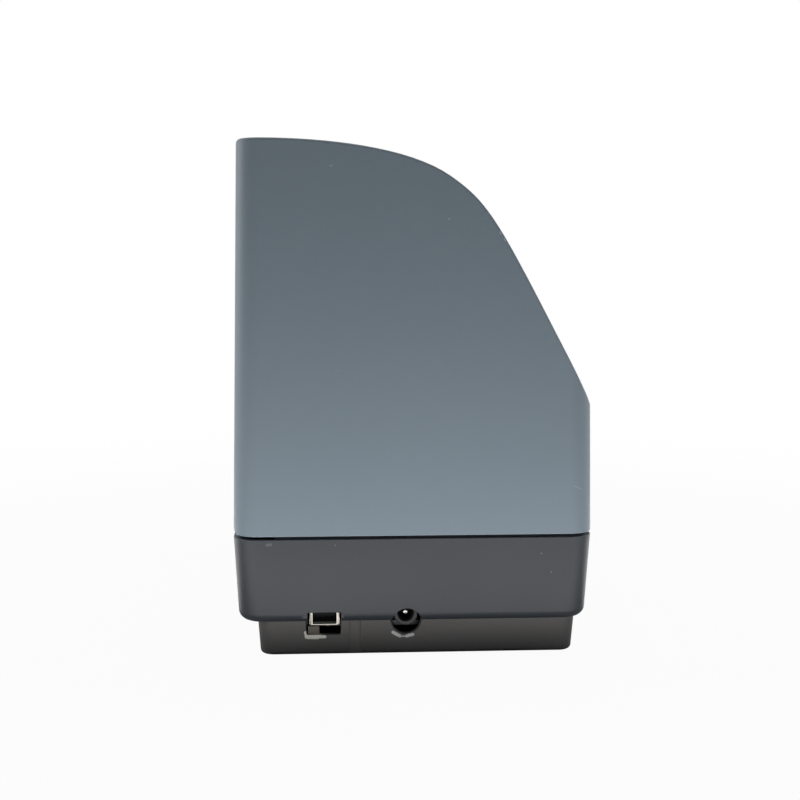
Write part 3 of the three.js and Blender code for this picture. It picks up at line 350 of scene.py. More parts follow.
def mouldedPlastic(name, colour, roughness, grain, edgeWearAndHighlight, marks=(), rounding=0, rim=None):
    graph = Graph(bpy.data.materials.new(name))
    drift = graph.noise(9, 3)
    mottle = graph.noise(160, 4, 0.6)
    speck = graph.fit(graph.cells(420), 0.11, 0.05) * graph.fit(graph.noise(60, 2), 0.60, 0.72)
    # corners and rims made lighter: partly wear, partly a painted highlight along rounded edges
    wornAndHighlitEdges = graph.edges(0.7) * graph.fit(graph.noise(230, 4, 0.65), 0.36, 0.62)
    tone = graph.mix(drift, lighter(colour, 0.94), lighter(colour, 1.05))
    tone = graph.mix(mottle * 0.35, tone, lighter(colour, 1.10))
    tone = graph.mix(wornAndHighlitEdges * edgeWearAndHighlight, tone, lighter(colour, 2.6))
    tone = graph.mix(speck * 0.35, tone, lighter(colour, 1.9))
    if rim:  # a painted highlight: a thin lighter line along an upper edge, where light would catch the rim
        height = graph.part("Z")
        line = graph.fit(height, (rim - 0.5) * mm, (rim - 0.2) * mm)
        line = line * graph.fit(height, (rim + 0.3) * mm, rim * mm)
        tone = graph.mix(line * (0.4 + graph.noise(40, 2) * 0.5), tone, lighter(colour, 2.6))
    dent = graph.noise(1500, 3, 0.6) * 0.7 + graph.cells(900) * 0.5
    for start, end, width, strength, paint in marks:
        strokeMask = graph.stroke(start, end, width)
        tone = graph.mix(strokeMask * strength, tone, paint)
        dent = dent - strokeMask * 0.8
    gloss = roughness + (graph.noise(34, 4, 0.6) - 0.5) * 0.14 + wornAndHighlitEdges * 0.08
    soft = graph.node("ShaderNodeBevel", {"samples": 4}, {"Radius": rounding * mm}) if rounding else None
    return graph.finish(colour=tone, roughness=gloss, normal=graph.bump(dent, grain, normal=soft))


def sootyRubber(name, colour, band=0.0):
    graph = Graph(bpy.data.materials.new(name))
    dust = graph.fit(graph.noise(120, 5, 0.7), 0.45, 0.75)
    tone = graph.mix(dust * 0.5, colour, lighter(colour, 2.4))
    tone = graph.mix(graph.edges(0.5) * 0.35, tone, lighter(colour, 3))
    height = graph.noise(1400, 3) + graph.cells(700) * 0.6
    return graph.finish(colour=tone, roughness=0.74 + dust * 0.18, normal=graph.bump(height, 0.03 + band))


def brushedMetal(name, colour, roughness, stretch=(1, 1, 0.02), scale=1800):
    graph = Graph(bpy.data.materials.new(name))
    lines = graph.noise(scale, 3, 0.6, graph.stretched(stretch))
    stain = graph.fit(graph.noise(70, 4, 0.65), 0.48, 0.74)
    tone = graph.mix(lines, lighter(colour, 0.86), lighter(colour, 1.06))
    tone = graph.mix(stain * 0.3, tone, lighter(colour, 0.62))
    gloss = roughness + (lines - 0.5) * 0.16 + stain * 0.12
    return graph.finish(colour=tone, roughness=gloss, metallic=1.0, normal=graph.bump(lines, 0.006))


def boardResin(name, green):
    graph = Graph(bpy.data.materials.new(name))
    copper, tin = lighter(shade(*green), 2.0), shade(196, 190, 160)
    green = shade(*green)
    lanes = graph.node("ShaderNodeTexBrick", {"offset": 0.3, "squash_frequency": 3},
                       {"Vector": graph.stretched((1, 0.4, 1)), "Scale": 260.0, "Mortar Size": 0.012,
                        "Color1": (0, 0, 0, 1), "Color2": (0, 0, 0, 1), "Mortar": (1, 1, 1, 1)}, output="Fac")
    vias = graph.fit(graph.cells(330), 0.16, 0.11) * graph.fit(graph.noise(45, 2), 0.42, 0.5)
    tone = graph.mix(graph.noise(60, 3), green, lighter(green, 1.2))
    tone = graph.mix(lanes * 0.75, tone, copper)
    tone = graph.mix(vias, tone, tin)
    return graph.finish(colour=tone, roughness=0.34 + vias * 0.1, metallic=vias * 0.8, coat=0.3,
                        normal=graph.bump(lanes + vias + graph.noise(900, 2) * 0.2, 0.02))


def sensorGlass(name):
    graph = Graph(bpy.data.materials.new(name))
    dust = graph.fit(graph.noise(240, 4, 0.7), 0.5, 0.78)
    stripe = graph.noise(60, 1, 0.5, graph.stretched((1, 1, 0.02)))
    tone = graph.mix(stripe, shade(26, 32, 40), shade(44, 54, 62))
    tone = graph.mix(dust * 0.2, tone, shade(120, 124, 126))
    return graph.finish(colour=tone, roughness=0.07 + dust * 0.2, coat=0.6, coatRoughness=0.05,
                        normal=graph.bump(graph.noise(30, 2), 0.01))


def clearPlastic(name):
    graph = Graph(bpy.data.materials.new(name))
    cloud = graph.noise(300, 3)
    tone = graph.mix(cloud, shade(150, 214, 160), shade(180, 232, 186))
    return graph.finish(colour=tone, roughness=0.22 + cloud * 0.14, transmission=0.35, coat=0.4,
                        normal=graph.bump(cloud, 0.02))


# light marks on the front: start and end across and up, width, strength, colour. Worn specks and smears on
# the hood and tub, pale strokes on the plinth
blueChip, brightChip, greyChip = shade(168, 178, 184), shade(190, 198, 202), shade(150, 150, 154)
whiteStroke, paleStroke = shade(238, 236, 222), shade(228, 228, 224)
hoodMarks = (
    ((-29.7, 176.2), (-29.1, 176.4), 0.42, 0.85, blueChip),
    ((11.5, 158.2), (12.0, 158.4), 0.42, 0.85, blueChip),
    ((29.7, 153.7), (30.0, 153.2), 0.40, 0.9, brightChip),
    ((31.2, 151.3), (31.6, 150.7), 0.42, 0.9, brightChip),
    ((57.2, 63.7), (59.9, 62.3), 0.22, 0.5, shade(176, 184, 190)),
)
tubMarks = (
    ((-52.6, 43.4), (-51.2, 43.6), 0.8, 0.22, greyChip),
    ((45.3, 39.4), (45.8, 39.2), 0.22, 0.5, greyChip),
    ((49.2, 32.4), (49.4, 32.2), 0.22, 0.5, greyChip),
    ((-28.5, 43.2), (-28.2, 43.1), 0.24, 0.45, greyChip),
)
# pale strokes along the lower rims of the USB cut-out and the jack hole
plinthMarks = (
    ((-39.1, 9.2), (-38.7, 8.2), 1.0, 1.0, whiteStroke),
    ((-38.3, 7.95), (-34.9, 7.9), 1.75, 1.0, whiteStroke),
    ((-34.9, 7.8), (-32.2, 7.6), 0.95, 0.95, whiteStroke),
    ((-7.3, 8.9), (-4.9, 7.5), 0.9, 0.95, paleStroke),
    ((-4.9, 7.4), (-2.4, 7.3), 0.45, 0.8, paleStroke),
    ((-2.3, 7.4), (-0.1, 8.0), 0.9, 0.95, paleStroke),
)
plastics = {  # screen colour, roughness, grain, edge wear with painted edge highlight, and what else the piece has
    "hood": ((130, 143, 153), 0.44, 0.03, 0.22, {"marks": hoodMarks}),
    # the tub's rim entry paints a thin highlight line along its top edge
    "tub": ((43, 47, 52), 0.46, 0.04, 0.22, {"marks": tubMarks, "rim": 45.2}),
    "plinth": ((91, 88, 86), 0.50, 0.04, 0.20, {"marks": plinthMarks}),
    "shelf": ((96, 90, 80), 0.5, 0.04, 0.1, {}),
    "guide": ((46, 47, 50), 0.40, 0.02, 0.18, {"rounding": 0.3}),
    "bed": ((58, 59, 63), 0.48, 0.03, 0.18, {"rounding": 0.3}),
    "black": ((24, 24, 26), 0.42, 0.02, 0.15, {}),
    "collar": ((62, 62, 62), 0.48, 0.02, 0.1, {}),
    "ink": ((40, 66, 104), 0.32, 0.015, 0.12, {}),
    "white": ((226, 223, 212), 0.45, 0.02, 0.05, {}),
}
finishes = {key: mouldedPlastic(f"{key}_plastic", shade(*colour), *surface, **extra)
            for key, (colour, *surface, extra) in plastics.items()}
finishes |= {
    "board": boardResin("board_resin", (22, 84, 52)),
    # a near-black copy of the board resin for the main board: painted shade in the gaps beside the sockets,
    # where the board shows
    "paintedShadeBoard": boardResin("painted_shade_board_resin", (9, 22, 17)),
    "glass": sensorGlass("sensor_glass"),
    "lamp": clearPlastic("lamp_plastic"),
    "rubber": sootyRubber("grip_rubber", shade(30, 30, 32)),
    "belt": sootyRubber("belt_rubber", shade(22, 22, 23), 0.02),
    "alloy": brushedMetal("turned_alloy", shade(196, 198, 202), 0.3, (1, 1, 6), 500),
    "brass": brushedMetal("head_brass", shade(200, 160, 88), 0.26, (1, 1, 0.03), 1500),
    "gold": brushedMetal("contact_gold", shade(226, 190, 110), 0.22, (1, 0.1, 1), 1500),
    "steel": brushedMetal("bright_steel", shade(184, 187, 190), 0.28),
    "zinc": brushedMetal("zinc_plate", shade(170, 172, 172), 0.42, (1, 0.05, 1), 900),
    "dullTin": brushedMetal("dull_tin_plate", shade(184, 178, 168), 0.34, (1, 0.1, 1), 1200),
    "tin": brushedMetal("tin_plate", shade(214, 212, 206), 0.26, (1, 0.1, 1), 1200),
}
print("finishes made")


# camera, light and floor

cameraView = {
    "place": (-36.0, -589.7, 148.0), "yaw": 3.65, "pitch": 6.31, "roll": 0.13,
    "focal": 1370.7, "pixels": 800, "sensor": 36,  # focal length and picture width in pixels, sensor in mm
}


def makeCamera():
    view = cameraView
    data = bpy.data.cameras.new("photoView")
    data.sensor_width = view["sensor"]
    data.lens = view["focal"] * view["sensor"] / view["pixels"]
    data.clip_start = 0.01
    camera = bpy.data.objects.new("photoView", data)
    bpy.context.scene.collection.objects.link(camera)
    camera.location = Vector(view["place"]) * mm
    camera.rotation_euler = (math.radians(90 - view["pitch"]), 0, math.radians(-view["yaw"]))
    camera.rotation_euler.rotate_axis("Z", math.radians(view["roll"]))
    bpy.context.scene.camera = camera


def softLamp(name, place, aim, size, watts):
    data = bpy.data.lights.new(name, "AREA")
    data.shape, data.size, data.size_y = "RECTANGLE", size[0], size[1]
    data.energy = watts
    lamp = bpy.data.objects.new(name, data)
    bpy.context.scene.collection.objects.link(lamp)
    lamp.location = place
    lamp.rotation_euler = (Vector(aim) - Vector(place)).to_track_quat("-Z", "Y").to_euler()
    lamp.visible_camera = False


def rayKinds(graph):  # the rays that see the studio as plain white
    return [graph.node("ShaderNodeLightPath", output=name) for name in
            ("Is Camera Ray", "Is Glossy Ray", "Is Transmission Ray")]


def makeStage():
    deselect()
    bpy.ops.mesh.primitive_plane_add(size=9, location=(0, 0, 0))
    floor = settle(bpy.context.object, "studio_floor")
    graph = Graph(bpy.data.materials.new("studio_floor_paper"))
    direct, gloss, passed = rayKinds(graph)
    paper = graph.node("ShaderNodeBsdfDiffuse", inputs={"Color": (0.86, 0.86, 0.86, 1)})
    white = graph.node("ShaderNodeEmission", inputs={"Color": (1, 1, 1, 1), "Strength": 1.0})
    away = graph.vector("LENGTH", graph.place())
    share = direct * graph.fit(away, 0.15, 0.6, 0.955, 1.0) + (gloss + passed) * graph.fit(away, 0.14, 0.5)
    seen = graph.node("ShaderNodeClamp", inputs=(share, 0.0, 1.0))
    blend = graph.node("ShaderNodeMixShader", inputs=(seen, paper, white))
    graph.node("ShaderNodeOutputMaterial", inputs=(blend,))
    floor.data.materials.append(graph.owner)

    world = bpy.data.worlds.new("studio")
    bpy.context.scene.world = world
    graph = Graph(world)
    direct, gloss, passed = rayKinds(graph)
    seen = graph.node("ShaderNodeClamp", inputs=(direct + gloss + passed, 0.0, 1.0))
    fill = graph.node("ShaderNodeBackground", inputs={"Color": (0.8, 0.92, 1, 1), "Strength": 0.1})
    white = graph.node("ShaderNodeBackground", inputs={"Color": (1, 1, 1, 1), "Strength": 1.0})
    blend = graph.node("ShaderNodeMixShader", inputs=(seen, fill, white))
    graph.node("ShaderNodeOutputWorld", inputs=(blend,))

    softLamp("overhead", (0.05, 0.15, 1.3), (0, 0.05, 0), (1.0, 1.0), 4.2)
    softLamp("leftPanel", (-0.95, 0.26, 0.4), (0, 0.1, 0.1), (0.5, 0.7), 2.4)
    softLamp("rightPanel", (1.0, 0.26, 0.45), (0, 0.1, 0.1), (0.5, 0.7), 1.7)
    softLamp("frontGlow", (-0.015, -0.191, 0.002), (-0.015, -0.191, 1), (0.36, 0.12), 0.3)
    softLamp("backGlow", (0, 0.191, 0.002), (0, 0.191, 1), (0.36, 0.12), 0.2)
    softLamp("leftGlow", (-0.17, 0.05, 0.002), (-0.17, 0.05, 1), (0.16, 0.24), 0.23)
    softLamp("rightGlow", (0.17, 0.05, 0.002), (0.17, 0.05, 1), (0.16, 0.24), 0.23)


makeCamera()
makeStage()
bpy.context.scene.view_settings.view_transform = "Standard"
print("camera, floor and lamps placed")


# hood

hood = {
    "halfWidth": 64.75, "halfLength": 111, "bottom": 46.3, "top": 186, "draft": 0.0155,
    "corner": 9, "wall": 2.5, "topEdge": 1.8, "rim": 0.35, "bend": 2.6,
    "crownFrom": -70, "crownPoints": (17, 19),
    "start": (-0.82, 1), "shoulderPulls": ((-0.49, 1), (-0.038, 0.981)), "shoulder": (0.189, 0.909),
    "brinkPulls": ((0.374, 0.8504), (0.434, 0.8126)), "brink": (0.725, 0.558), "bendPoint": (0.992, 0.3246),
    "ribs": 5, "ribPitch": 44, "ribDepth": 3, "ribWidth": 1.6, "ribLow": 58,
    "slotHalf": 4.2, "slotTop": 132, "slotFrom": 101, "slotFlare": 0.55,
    "gripRadius": 11, "gripDepth": 3.2, "gripFrom": 32,
}
hinge = {
    "x": -60.8, "z": 49.5, "bore": 1.3, "boreHalf": 93.3, "rod": 1.0, "span": 186, "earPlaces": (-74, 0, 74),
    "earHalf": 8, "earRadius": 2.2, "earLow": 33.2, "gap": 0.4, "knuckle": 16, "knuckleRadius": 2.65,
    "sweep": 4,
}
lanes = {"entry": 34, "exit": -26, "bedTop": 22}
clearX, clearY = 80, 120  # tools that cut right through reach this far out


def crownLine():
    def at(share):
        rise = hood["top"] - hood["bottom"]
        return Vector((share[0] * hood["halfWidth"], 0, hood["bottom"] + share[1] * rise))

    corners = ("start", "shoulder", "brink")
    line = [Vector((hood["crownFrom"], 0, hood["top"])), at(hood["start"])]
    for first, second, points in zip(corners, corners[1:], hood["crownPoints"]):
        pulls = [at(pull) for pull in hood[second + "Pulls"]]
        line += interpolate_bezier(at(hood[first]), *pulls, at(hood[second]), points)[1:]
    return line + [at(hood["bendPoint"])]


def insetBlock(name, inset, low, high, segments=10):  # the machine's rounded outline, set in on all sides
    across, deep = hood["halfWidth"] - inset, hood["halfLength"] - inset
    return cornerBlock(name, (-across, -deep, low), (across, deep, high), hood["corner"] - inset, segments)


def drawIn(inset, lean):  # moves the picked points of such an outline in by lean
    across, deep = hood["halfWidth"] - inset, hood["halfLength"] - inset
    bpy.ops.transform.resize(value=(1 - lean / across, 1 - lean / deep, 1), center_override=(0, 0, 0))


def hoodForm(name, inset, bottom):
    form = insetBlock(name, inset, bottom, hood["top"] + 1)
    pick(form, "VERT", lambda v: v.z > hood["top"])
    drawIn(inset, hood["draft"] * (hood["top"] + 1 - bottom))
    line = crownLine()
    for first, second in zip(line, line[1:]):
        along = (second - first).normalized()
        out = Vector((-along.z, 0, along.x))
        bpy.ops.mesh.select_all(action="SELECT")
        cutBeyond(first - out * inset, out, 0.0002)
    bpy.ops.mesh.select_all(action="SELECT")
    bpy.ops.mesh.remove_doubles(threshold=0.01 * mm)
    deselect()
    return form


def hoodEdge(a, b):  # how much of the bevel's width each edge of the outer form takes
    middle = (a + b) / 2
    if max(a.z, b.z) < hood["bottom"] + 0.1:
        return hood["rim"] / hood["topEdge"]
    lean = hood["draft"] * (middle.z - hood["bottom"])
    flank = hood["halfWidth"] - lean
    end = hood["halfLength"] - lean
    alongY = abs(a.y - b.y) > 5
    onTop = middle.z > hood["top"] - 0.1
    if onTop and middle.x < -flank + 0.4:
        return 1.0
    cornerX, cornerY = -flank + hood["corner"], end - hood["corner"]
    if onTop and middle.x < cornerX + 1 and abs(middle.y) > cornerY and not alongY:
        heading = math.degrees(math.atan2(abs(a.y - b.y), abs(a.x - b.x)))
        return 0.5 + 0.5 * min(max((heading - 4.6) / 81, 0), 1)
    if alongY:
        return 0
    if abs(middle.y) > end - 0.6 and abs(a.x - b.x) > 0.05 + abs(a.z - b.z) / 10 and middle.z > 89:
        return 0.5
    if middle.x > 0 and abs(middle.y) > cornerY and abs(a.z - b.z) < 4 and middle.z > 86:
        rounded = Vector((middle.x - (flank - hood["corner"]), abs(middle.y) - cornerY))
        if rounded.x > 0 and abs(rounded.length - hood["corner"]) < 0.5 and abs(a.y - b.y) > 0.05:
            return 0.5
    return 0


def flaredTool(tool, side, grow, out):  # opens the tool's outer end, for a chamfer round the mouth
    pick(tool, "FACE", lambda c, n: n.y * side > 0.9)
    bpy.ops.object.mode_set(mode="OBJECT")
    ends = [tool.data.vertices[i].co for face in tool.data.polygons if face.select for i in face.vertices]
    middle = [(min(c[i] for c in ends) + max(c[i] for c in ends)) / 2 for i in range(3)]
    wide, _, tall = (1 + 2 * grow * mm / size for size in tool.dimensions)
    bpy.ops.object.mode_set(mode="EDIT")
    bpy.ops.mesh.extrude_region_move(TRANSFORM_OT_translate={"value": (0, side * grow * mm, 0)})
    bpy.ops.transform.resize(value=(wide, 1, tall), center_override=middle)
    bpy.ops.mesh.extrude_region_move(TRANSFORM_OT_translate={"value": (0, side * out * mm, 0)})
    deselect()
    return tool


def slotTool(x, lean, height):  # the cheque slot, turned so that its flare follows a leaning end wall
    half, start, end = hood["slotHalf"], hood["slotFrom"], hood["halfLength"] - 0.5
    archZ = hood["slotTop"] - half
    tool = block("slot", (x - half, start, lanes["bedTop"]), (x + half, end, archZ))
    combine(tool, [rod("arch", half, (x, start, archZ), (x, end, archZ), 32)], "UNION")
    flaredTool(tool, 1, hood["slotFlare"], 4)
    there = Matrix.Translation(Vector((0, hood["halfLength"], height)) * mm)
    tool.data.transform(there @ Matrix.Rotation(lean, 4, "X") @ there.inverted())
    return tool


def onHinge(name, radius, start, end, sides=24):  # a rod on the hinge's axis
    return rod(name, radius, (hinge["x"], start, hinge["z"]), (hinge["x"], end, hinge["z"]), sides)


def makeHood():
    shell = hoodForm("hood_shell", 0, hood["bottom"])
    bevelEdges(shell, lambda a, b: abs(a.y - b.y) > 50 and a.x > 60 and 85 < a.z < 95, hood["bend"], 5)
    bevelWeighed(shell, hoodEdge, hood["topEdge"], 4)
    mergeClose(shell, 0.01)
    combine(shell, [hoodForm("hollow", hood["wall"], hood["bottom"] - 1)])
    band = hoodForm("band", hood["wall"] / 2, hood["bottom"] - 0.5)
    combine(band, [hoodForm("bandHollow", hood["wall"] + hood["ribDepth"], hood["bottom"] - 2)])
    half, middle = hood["ribWidth"] / 2, (hood["ribs"] - 1) / 2
    slabs = [block("slab", (-clearX, y - half, hood["ribLow"]), (clearX, y + half, hood["top"] + 4))
             for y in ((i - middle) * hood["ribPitch"] for i in range(hood["ribs"]))]
    combine(band, [join(slabs, "slabs")], "INTERSECT")
    combine(shell, [band], "UNION")
    reach, clear, sweep = hinge["earHalf"] + hinge["gap"], hinge["earRadius"] + hinge["gap"], hinge["sweep"]
    for place in hinge["earPlaces"]:
        for side in (-1, 1):
            near, far = place + side * reach, place + side * (reach + hinge["knuckle"])
            combine(shell, [onHinge("knuckle", hinge["knuckleRadius"], near, far)], "UNION")
    corner = block("corner", (-clearX, -clearY, hinge["z"] - sweep - 3), (hinge["x"], clearY, hinge["z"]))
    gripZ = hood["bottom"] + hood["gripDepth"] - hood["gripRadius"]
    tools = [onHinge("bore", hinge["bore"], -hinge["boreHalf"], hinge["boreHalf"]),
             combine(corner, [onHinge("sweep", sweep, -clearY - 10, clearY + 10, 64)]),
             rod("grip", hood["gripRadius"], (hood["gripFrom"], 0, gripZ), (clearX, 0, gripZ), 64)]
    right, top = hinge["x"] + clear + 6, hinge["z"] + clear
    tools += [block("relief", (-clearX, y - reach, 40), (right, y + reach, top)) for y in hinge["earPlaces"]]
    tools += [slotTool(x, math.atan(hood["draft"]), hood["bottom"]) for x in (lanes["entry"], lanes["exit"])]
    combine(shell, tools)
    present(shell, "hood", "hood", "hood", angle=28, weighted=True)


makeHood()
print("hood modelled")


# base tub

tub = {
    "rim": 45.2, "low": 14.4, "taper": 0.055, "wall": 2.5, "floor": 2.5, "foot": 3.5, "edge": 0.4,
    "lipInset": 2.95, "lipWall": 1.2, "lipLow": 42.8, "lipTop": 48.7, "rootInset": 1.25, "rootTop": 44.9,
    "bossRadius": 4, "bossLow": 16, "bossTop": 24, "screwX": 51.5, "screwY": 90, "screwHole": 1.8,
}
statusLamp = {"x": 52, "y": 105.92, "z": 31, "hole": 2.7}
usb = {
    "x": -32.3, "width": 11.2, "height": 10.9, "bottom": 12.1, "face": -103.8, "depth": 16, "mouth": 9,
    "notchHalf": 6.1, "notchLeft": 7.9, "notchRight": 7, "notchTop": 18.2, "notchRadius": 1.4,
    "cutLeft": 6.6, "cutRight": 6, "cutBottom": 8.3,
    "tongueHalf": 2.8, "tongueLow": 15.95, "tongueTop": 19.15,
    "restLeft": -38.3, "restRight": -34.1, "restTop": 11.5,
}
jack = {
    "x": -2.6, "z": 15.5, "barrel": 4.45, "bore": 2.85, "face": -101.6, "depth": 14, "collar": 3.4,
    "holeZ": 13.9, "half": 4.5, "top": 21.4,
}


def taperedBlock(name, inset, low, high):
    form = insetBlock(name, inset, low, high)
    pick(form, "VERT", lambda v: v.z < low + 0.1)
    drawIn(inset, tub["taper"] * (tub["rim"] - low))
    pick(form, "VERT", lambda v: v.z > high - 0.1)
    drawIn(inset, tub["taper"] * (tub["rim"] - high))
    deselect()
    return form


def screwPlaces():
    return [(sx * tub["screwX"], sy * tub["screwY"]) for sx in (-1, 1) for sy in (-1, 1)]


def makeTub():
    floor = tub["low"] + tub["floor"]
    shell = taperedBlock("base_tub_shell", 0, tub["low"], tub["rim"])
    bevelEdges(shell, below(tub["low"]), tub["foot"], 6)
    bevelEdges(shell, above(tub["rim"]), tub["edge"], 3)
    hollow = taperedBlock("tubHollow", tub["wall"], floor, tub["rim"] + 6)
    combine(shell, [bevelEdges(hollow, below(floor), 1.5, 3)])
    root = insetBlock("root", tub["rootInset"], tub["lipLow"], tub["rootTop"], 8)
    lip = insetBlock("lip", tub["lipInset"], tub["lipLow"], tub["lipTop"], 8)
    combine(lip, [root], "UNION")
    combine(lip, [insetBlock("lipHollow", tub["lipInset"] + tub["lipWall"], 36, 55, 8),
                  block("lipEnd", (-clearX, -clearY, 36), (-50, clearY, 55))])  # no lip along the hinge
    combine(shell, [lip], "UNION")
    x, z, radius = hinge["x"], hinge["z"], hinge["earRadius"]
    for place in hinge["earPlaces"]:
        start, end = place - hinge["earHalf"], place + hinge["earHalf"]
        ear = block("ear", (x - radius, start, hinge["earLow"]), (x + radius, end, z))
        combine(ear, [onHinge("earTop", radius, start, end)], "UNION")
        combine(shell, [ear], "UNION")
    bosses = uprights("boss", tub["bossRadius"], screwPlaces(), tub["bossLow"], tub["bossTop"], 24)
    combine(shell, [join(bosses, "bosses")], "UNION")
    x, half, top = usb["x"], usb["notchHalf"], usb["notchTop"]
    left, right = x - usb["notchLeft"], x + usb["notchRight"]
    notch = cornerBlock("notch", (x - half, -109.3, 8), (x + half, -87.8, top), 0.5, 3, 1)
    ears = cornerBlock("ears", (left, -115, 8), (right, -108.9, top - 0.3), usb["notchRadius"], 4, 1)
    hole = turned("hole", [(5.65, -112), (5.65, -109.7), (5.5, -109.5), (5.5, -101.3)],
                  (jack["x"], 0, jack["holeZ"]), 48, "Y")
    lampX, lampZ = statusLamp["x"], statusLamp["z"]
    tools = [flaredTool(notch, -1, 0.3, 3), ears, hole,
             onHinge("bore", hinge["bore"], -hinge["boreHalf"], hinge["boreHalf"]),
             block("sockets", (left, jack["face"] - 0.3, 0), (jack["x"] + 5.1, -87.2, 22)),
             rod("lamp", statusLamp["hole"], (lampX, 99, lampZ), (lampX, 117, lampZ), 24)]
    tools += [slotTool(x, -math.atan(tub["taper"]), tub["rim"]) for x in (lanes["entry"], lanes["exit"])]
    tools.append(join(uprights("screwWay", tub["screwHole"], screwPlaces(), 0, 20.3, 20), "screwWays"))
    combine(shell, tools)
    present(shell, "tub", "base", "base_tub", angle=28, weighted=True)


makeTub()
print("tub modelled")


# plinth

plinth = {
    "left": -56.45, "right": 59.9, "end": 103.5, "low": 0.8, "top": 14.1, "taper": 0.07, "corner": 5,
    "edge": 1.3, "wall": 2.2, "floor": 2.5, "grooveLeft": -23.3, "grooveRight": -19.1, "grooveDepth": 0.5,
    "standX": (-44, 42), "standY": (-79.6, 62), "standRadius": 3.2, "standTop": 9.9, "postLow": 1.1,
}
foot = {"radius": 8, "thickness": 1.7, "pocket": 1.2, "insetX": 20, "insetY": 21}


def plinthForm(name, inset, low, high):
    left, right, end = plinth["left"] + inset, plinth["right"] - inset, plinth["end"] - inset
    form = cornerBlock(name, (left, -end, low), (right, end, high), plinth["corner"] - inset, 6)
    lean = plinth["taper"] * (tub["low"] - low)
    pick(form, "VERT", lambda v: v.z < low + 0.1)
    bpy.ops.transform.resize(value=(1 - lean / ((right - left) / 2), 1 - lean / end, 1),
                             center_override=((left + right) / 2 * mm, 0, 0))
    deselect()
    return form


def footPlaces():
    return [(x, side * (plinth["end"] - foot["insetY"])) for x in
            (plinth["left"] + foot["insetX"], plinth["right"] - foot["insetX"]) for side in (-1, 1)]


def makePlinth():
    p = plinth
    pan = plinthForm("plinth_shell", 0, p["low"], p["top"])
    bevelEdges(pan, below(p["low"]), p["edge"], 4)
    combine(pan, [plinthForm("panHollow", p["wall"], p["low"] + p["floor"], 20)])
    posts = uprights("post", tub["bossRadius"], screwPlaces(), p["postLow"], p["top"], 24)
    posts += uprights("stand", p["standRadius"], [(x, y) for x in p["standX"] for y in p["standY"]],
                      p["postLow"], p["standTop"], 24)
    combine(pan, [join(posts, "posts")], "UNION")
    cutOut = cornerBlock("cutOut", (usb["x"] - usb["cutLeft"], -103.1, usb["cutBottom"]),
                         (usb["x"] + usb["cutRight"], -97.8, 20), 0.7, 3, 1)
    hole = turned("hole", [(5.8, -110), (5.8, -102.95), (5.5, -102.65), (5.5, -99.1)],
                  (jack["x"], 0, jack["holeZ"]), 48, "Y")
    grooveEnd = -p["end"] + p["grooveDepth"] + 0.5
    pockets = uprights("pocket", foot["radius"] + 0.3, footPlaces(), 0, p["low"] + foot["pocket"], 48)
    tools = [flaredTool(cutOut, -1, 0.5, 6), hole,
             block("groove", (p["grooveLeft"], -110, 0), (p["grooveRight"], grooveEnd, 20)),
             join(pockets, "pockets"),
             join(uprights("screwWay", tub["screwHole"], screwPlaces(), 0, 20, 20), "ways"),
             join(uprights("seat", 3.4, screwPlaces(), 0, 3.6, 32), "seats")]
    combine(pan, tools)
    present(pan, "plinth", "base", "plinth_pan", angle=28, weighted=True)


makePlinth()
print("plinth modelled")


# sockets

def usbBox(side, start, end, under, over):  # the shell's outer box, set in on its sides
    left, right = usb["x"] - usb["width"] / 2 + 0.2, usb["x"] + usb["width"] / 2 - 0.05
    return ((left + side, usb["face"] + start, usb["bottom"] + under),
            (right - side, usb["face"] + end, usb["bottom"] + usb["height"] - over))


def makeUsb():
    x, half, face, bottom, deep = usb["x"], usb["width"] / 2, usb["face"], usb["bottom"], usb["mouth"]
    shell = cornerBlock("usb_shell_sheet", *usbBox(0, 0, usb["depth"], 0, 0), 0.7, 3, 1)
    tools = [cornerBlock("mouth", *usbBox(0.5, 0.9, deep, 0.5, 0.5), 0.4, 3, 1),
             cornerBlock("lips", *usbBox(1.15, -2, 1.2, 0.5, 0.6), 0.3, 3, 1)]
    tools += [block("window", (side - 1, face + 2.2, bottom + 3), (side + 1, face + 6.4, bottom + 6.4))
              for side in (x - half, x + half)]
    combine(shell, tools)
    bevelSharp(shell, 0.12, 40)
    low, high = (face + 2.8, bottom + 3.6), (face + 6.9, bottom + 5.8)
    tabs = [softBlock("tab", (side - 0.2, *low), (side + 0.2, *high), 0.12)
            for side in (x - half + 0.3, x + half - 0.3)]
    present(join([shell] + tabs, "usb_shell_sheet"), "dullTin", "base", "usb_shell", angle=30)

    liner = cornerBlock("usb_liner", *usbBox(0.5, 1.0, deep, 0.5, 0.5), 0.4, 3, 1)
    combine(liner, [block("room", *usbBox(1.0, -1, deep - 1.0, 1.0, 1.0))])
    present(liner, "black", "base")
    tongue = softBlock("usb_tongue_block", (x - usb["tongueHalf"], face + 1.6, usb["tongueLow"]),
                       (x + usb["tongueHalf"], face + 8.3, usb["tongueTop"]), 0.35, 3)
    present(tongue, "black", "base", "usb_tongue")
    left, right, top = usb["restLeft"], usb["restRight"], usb["restTop"]
    rest = softBlock("usb_rest", (left, -100.9, 3.2), (right, -98.6, top), 0.3)  # stands on the pan's floor
    combine(rest, [softBlock("lip", (left, -102.6, 8.25), (right, -98.9, top), 0.3)], "UNION")
    present(rest, "shelf", "base")


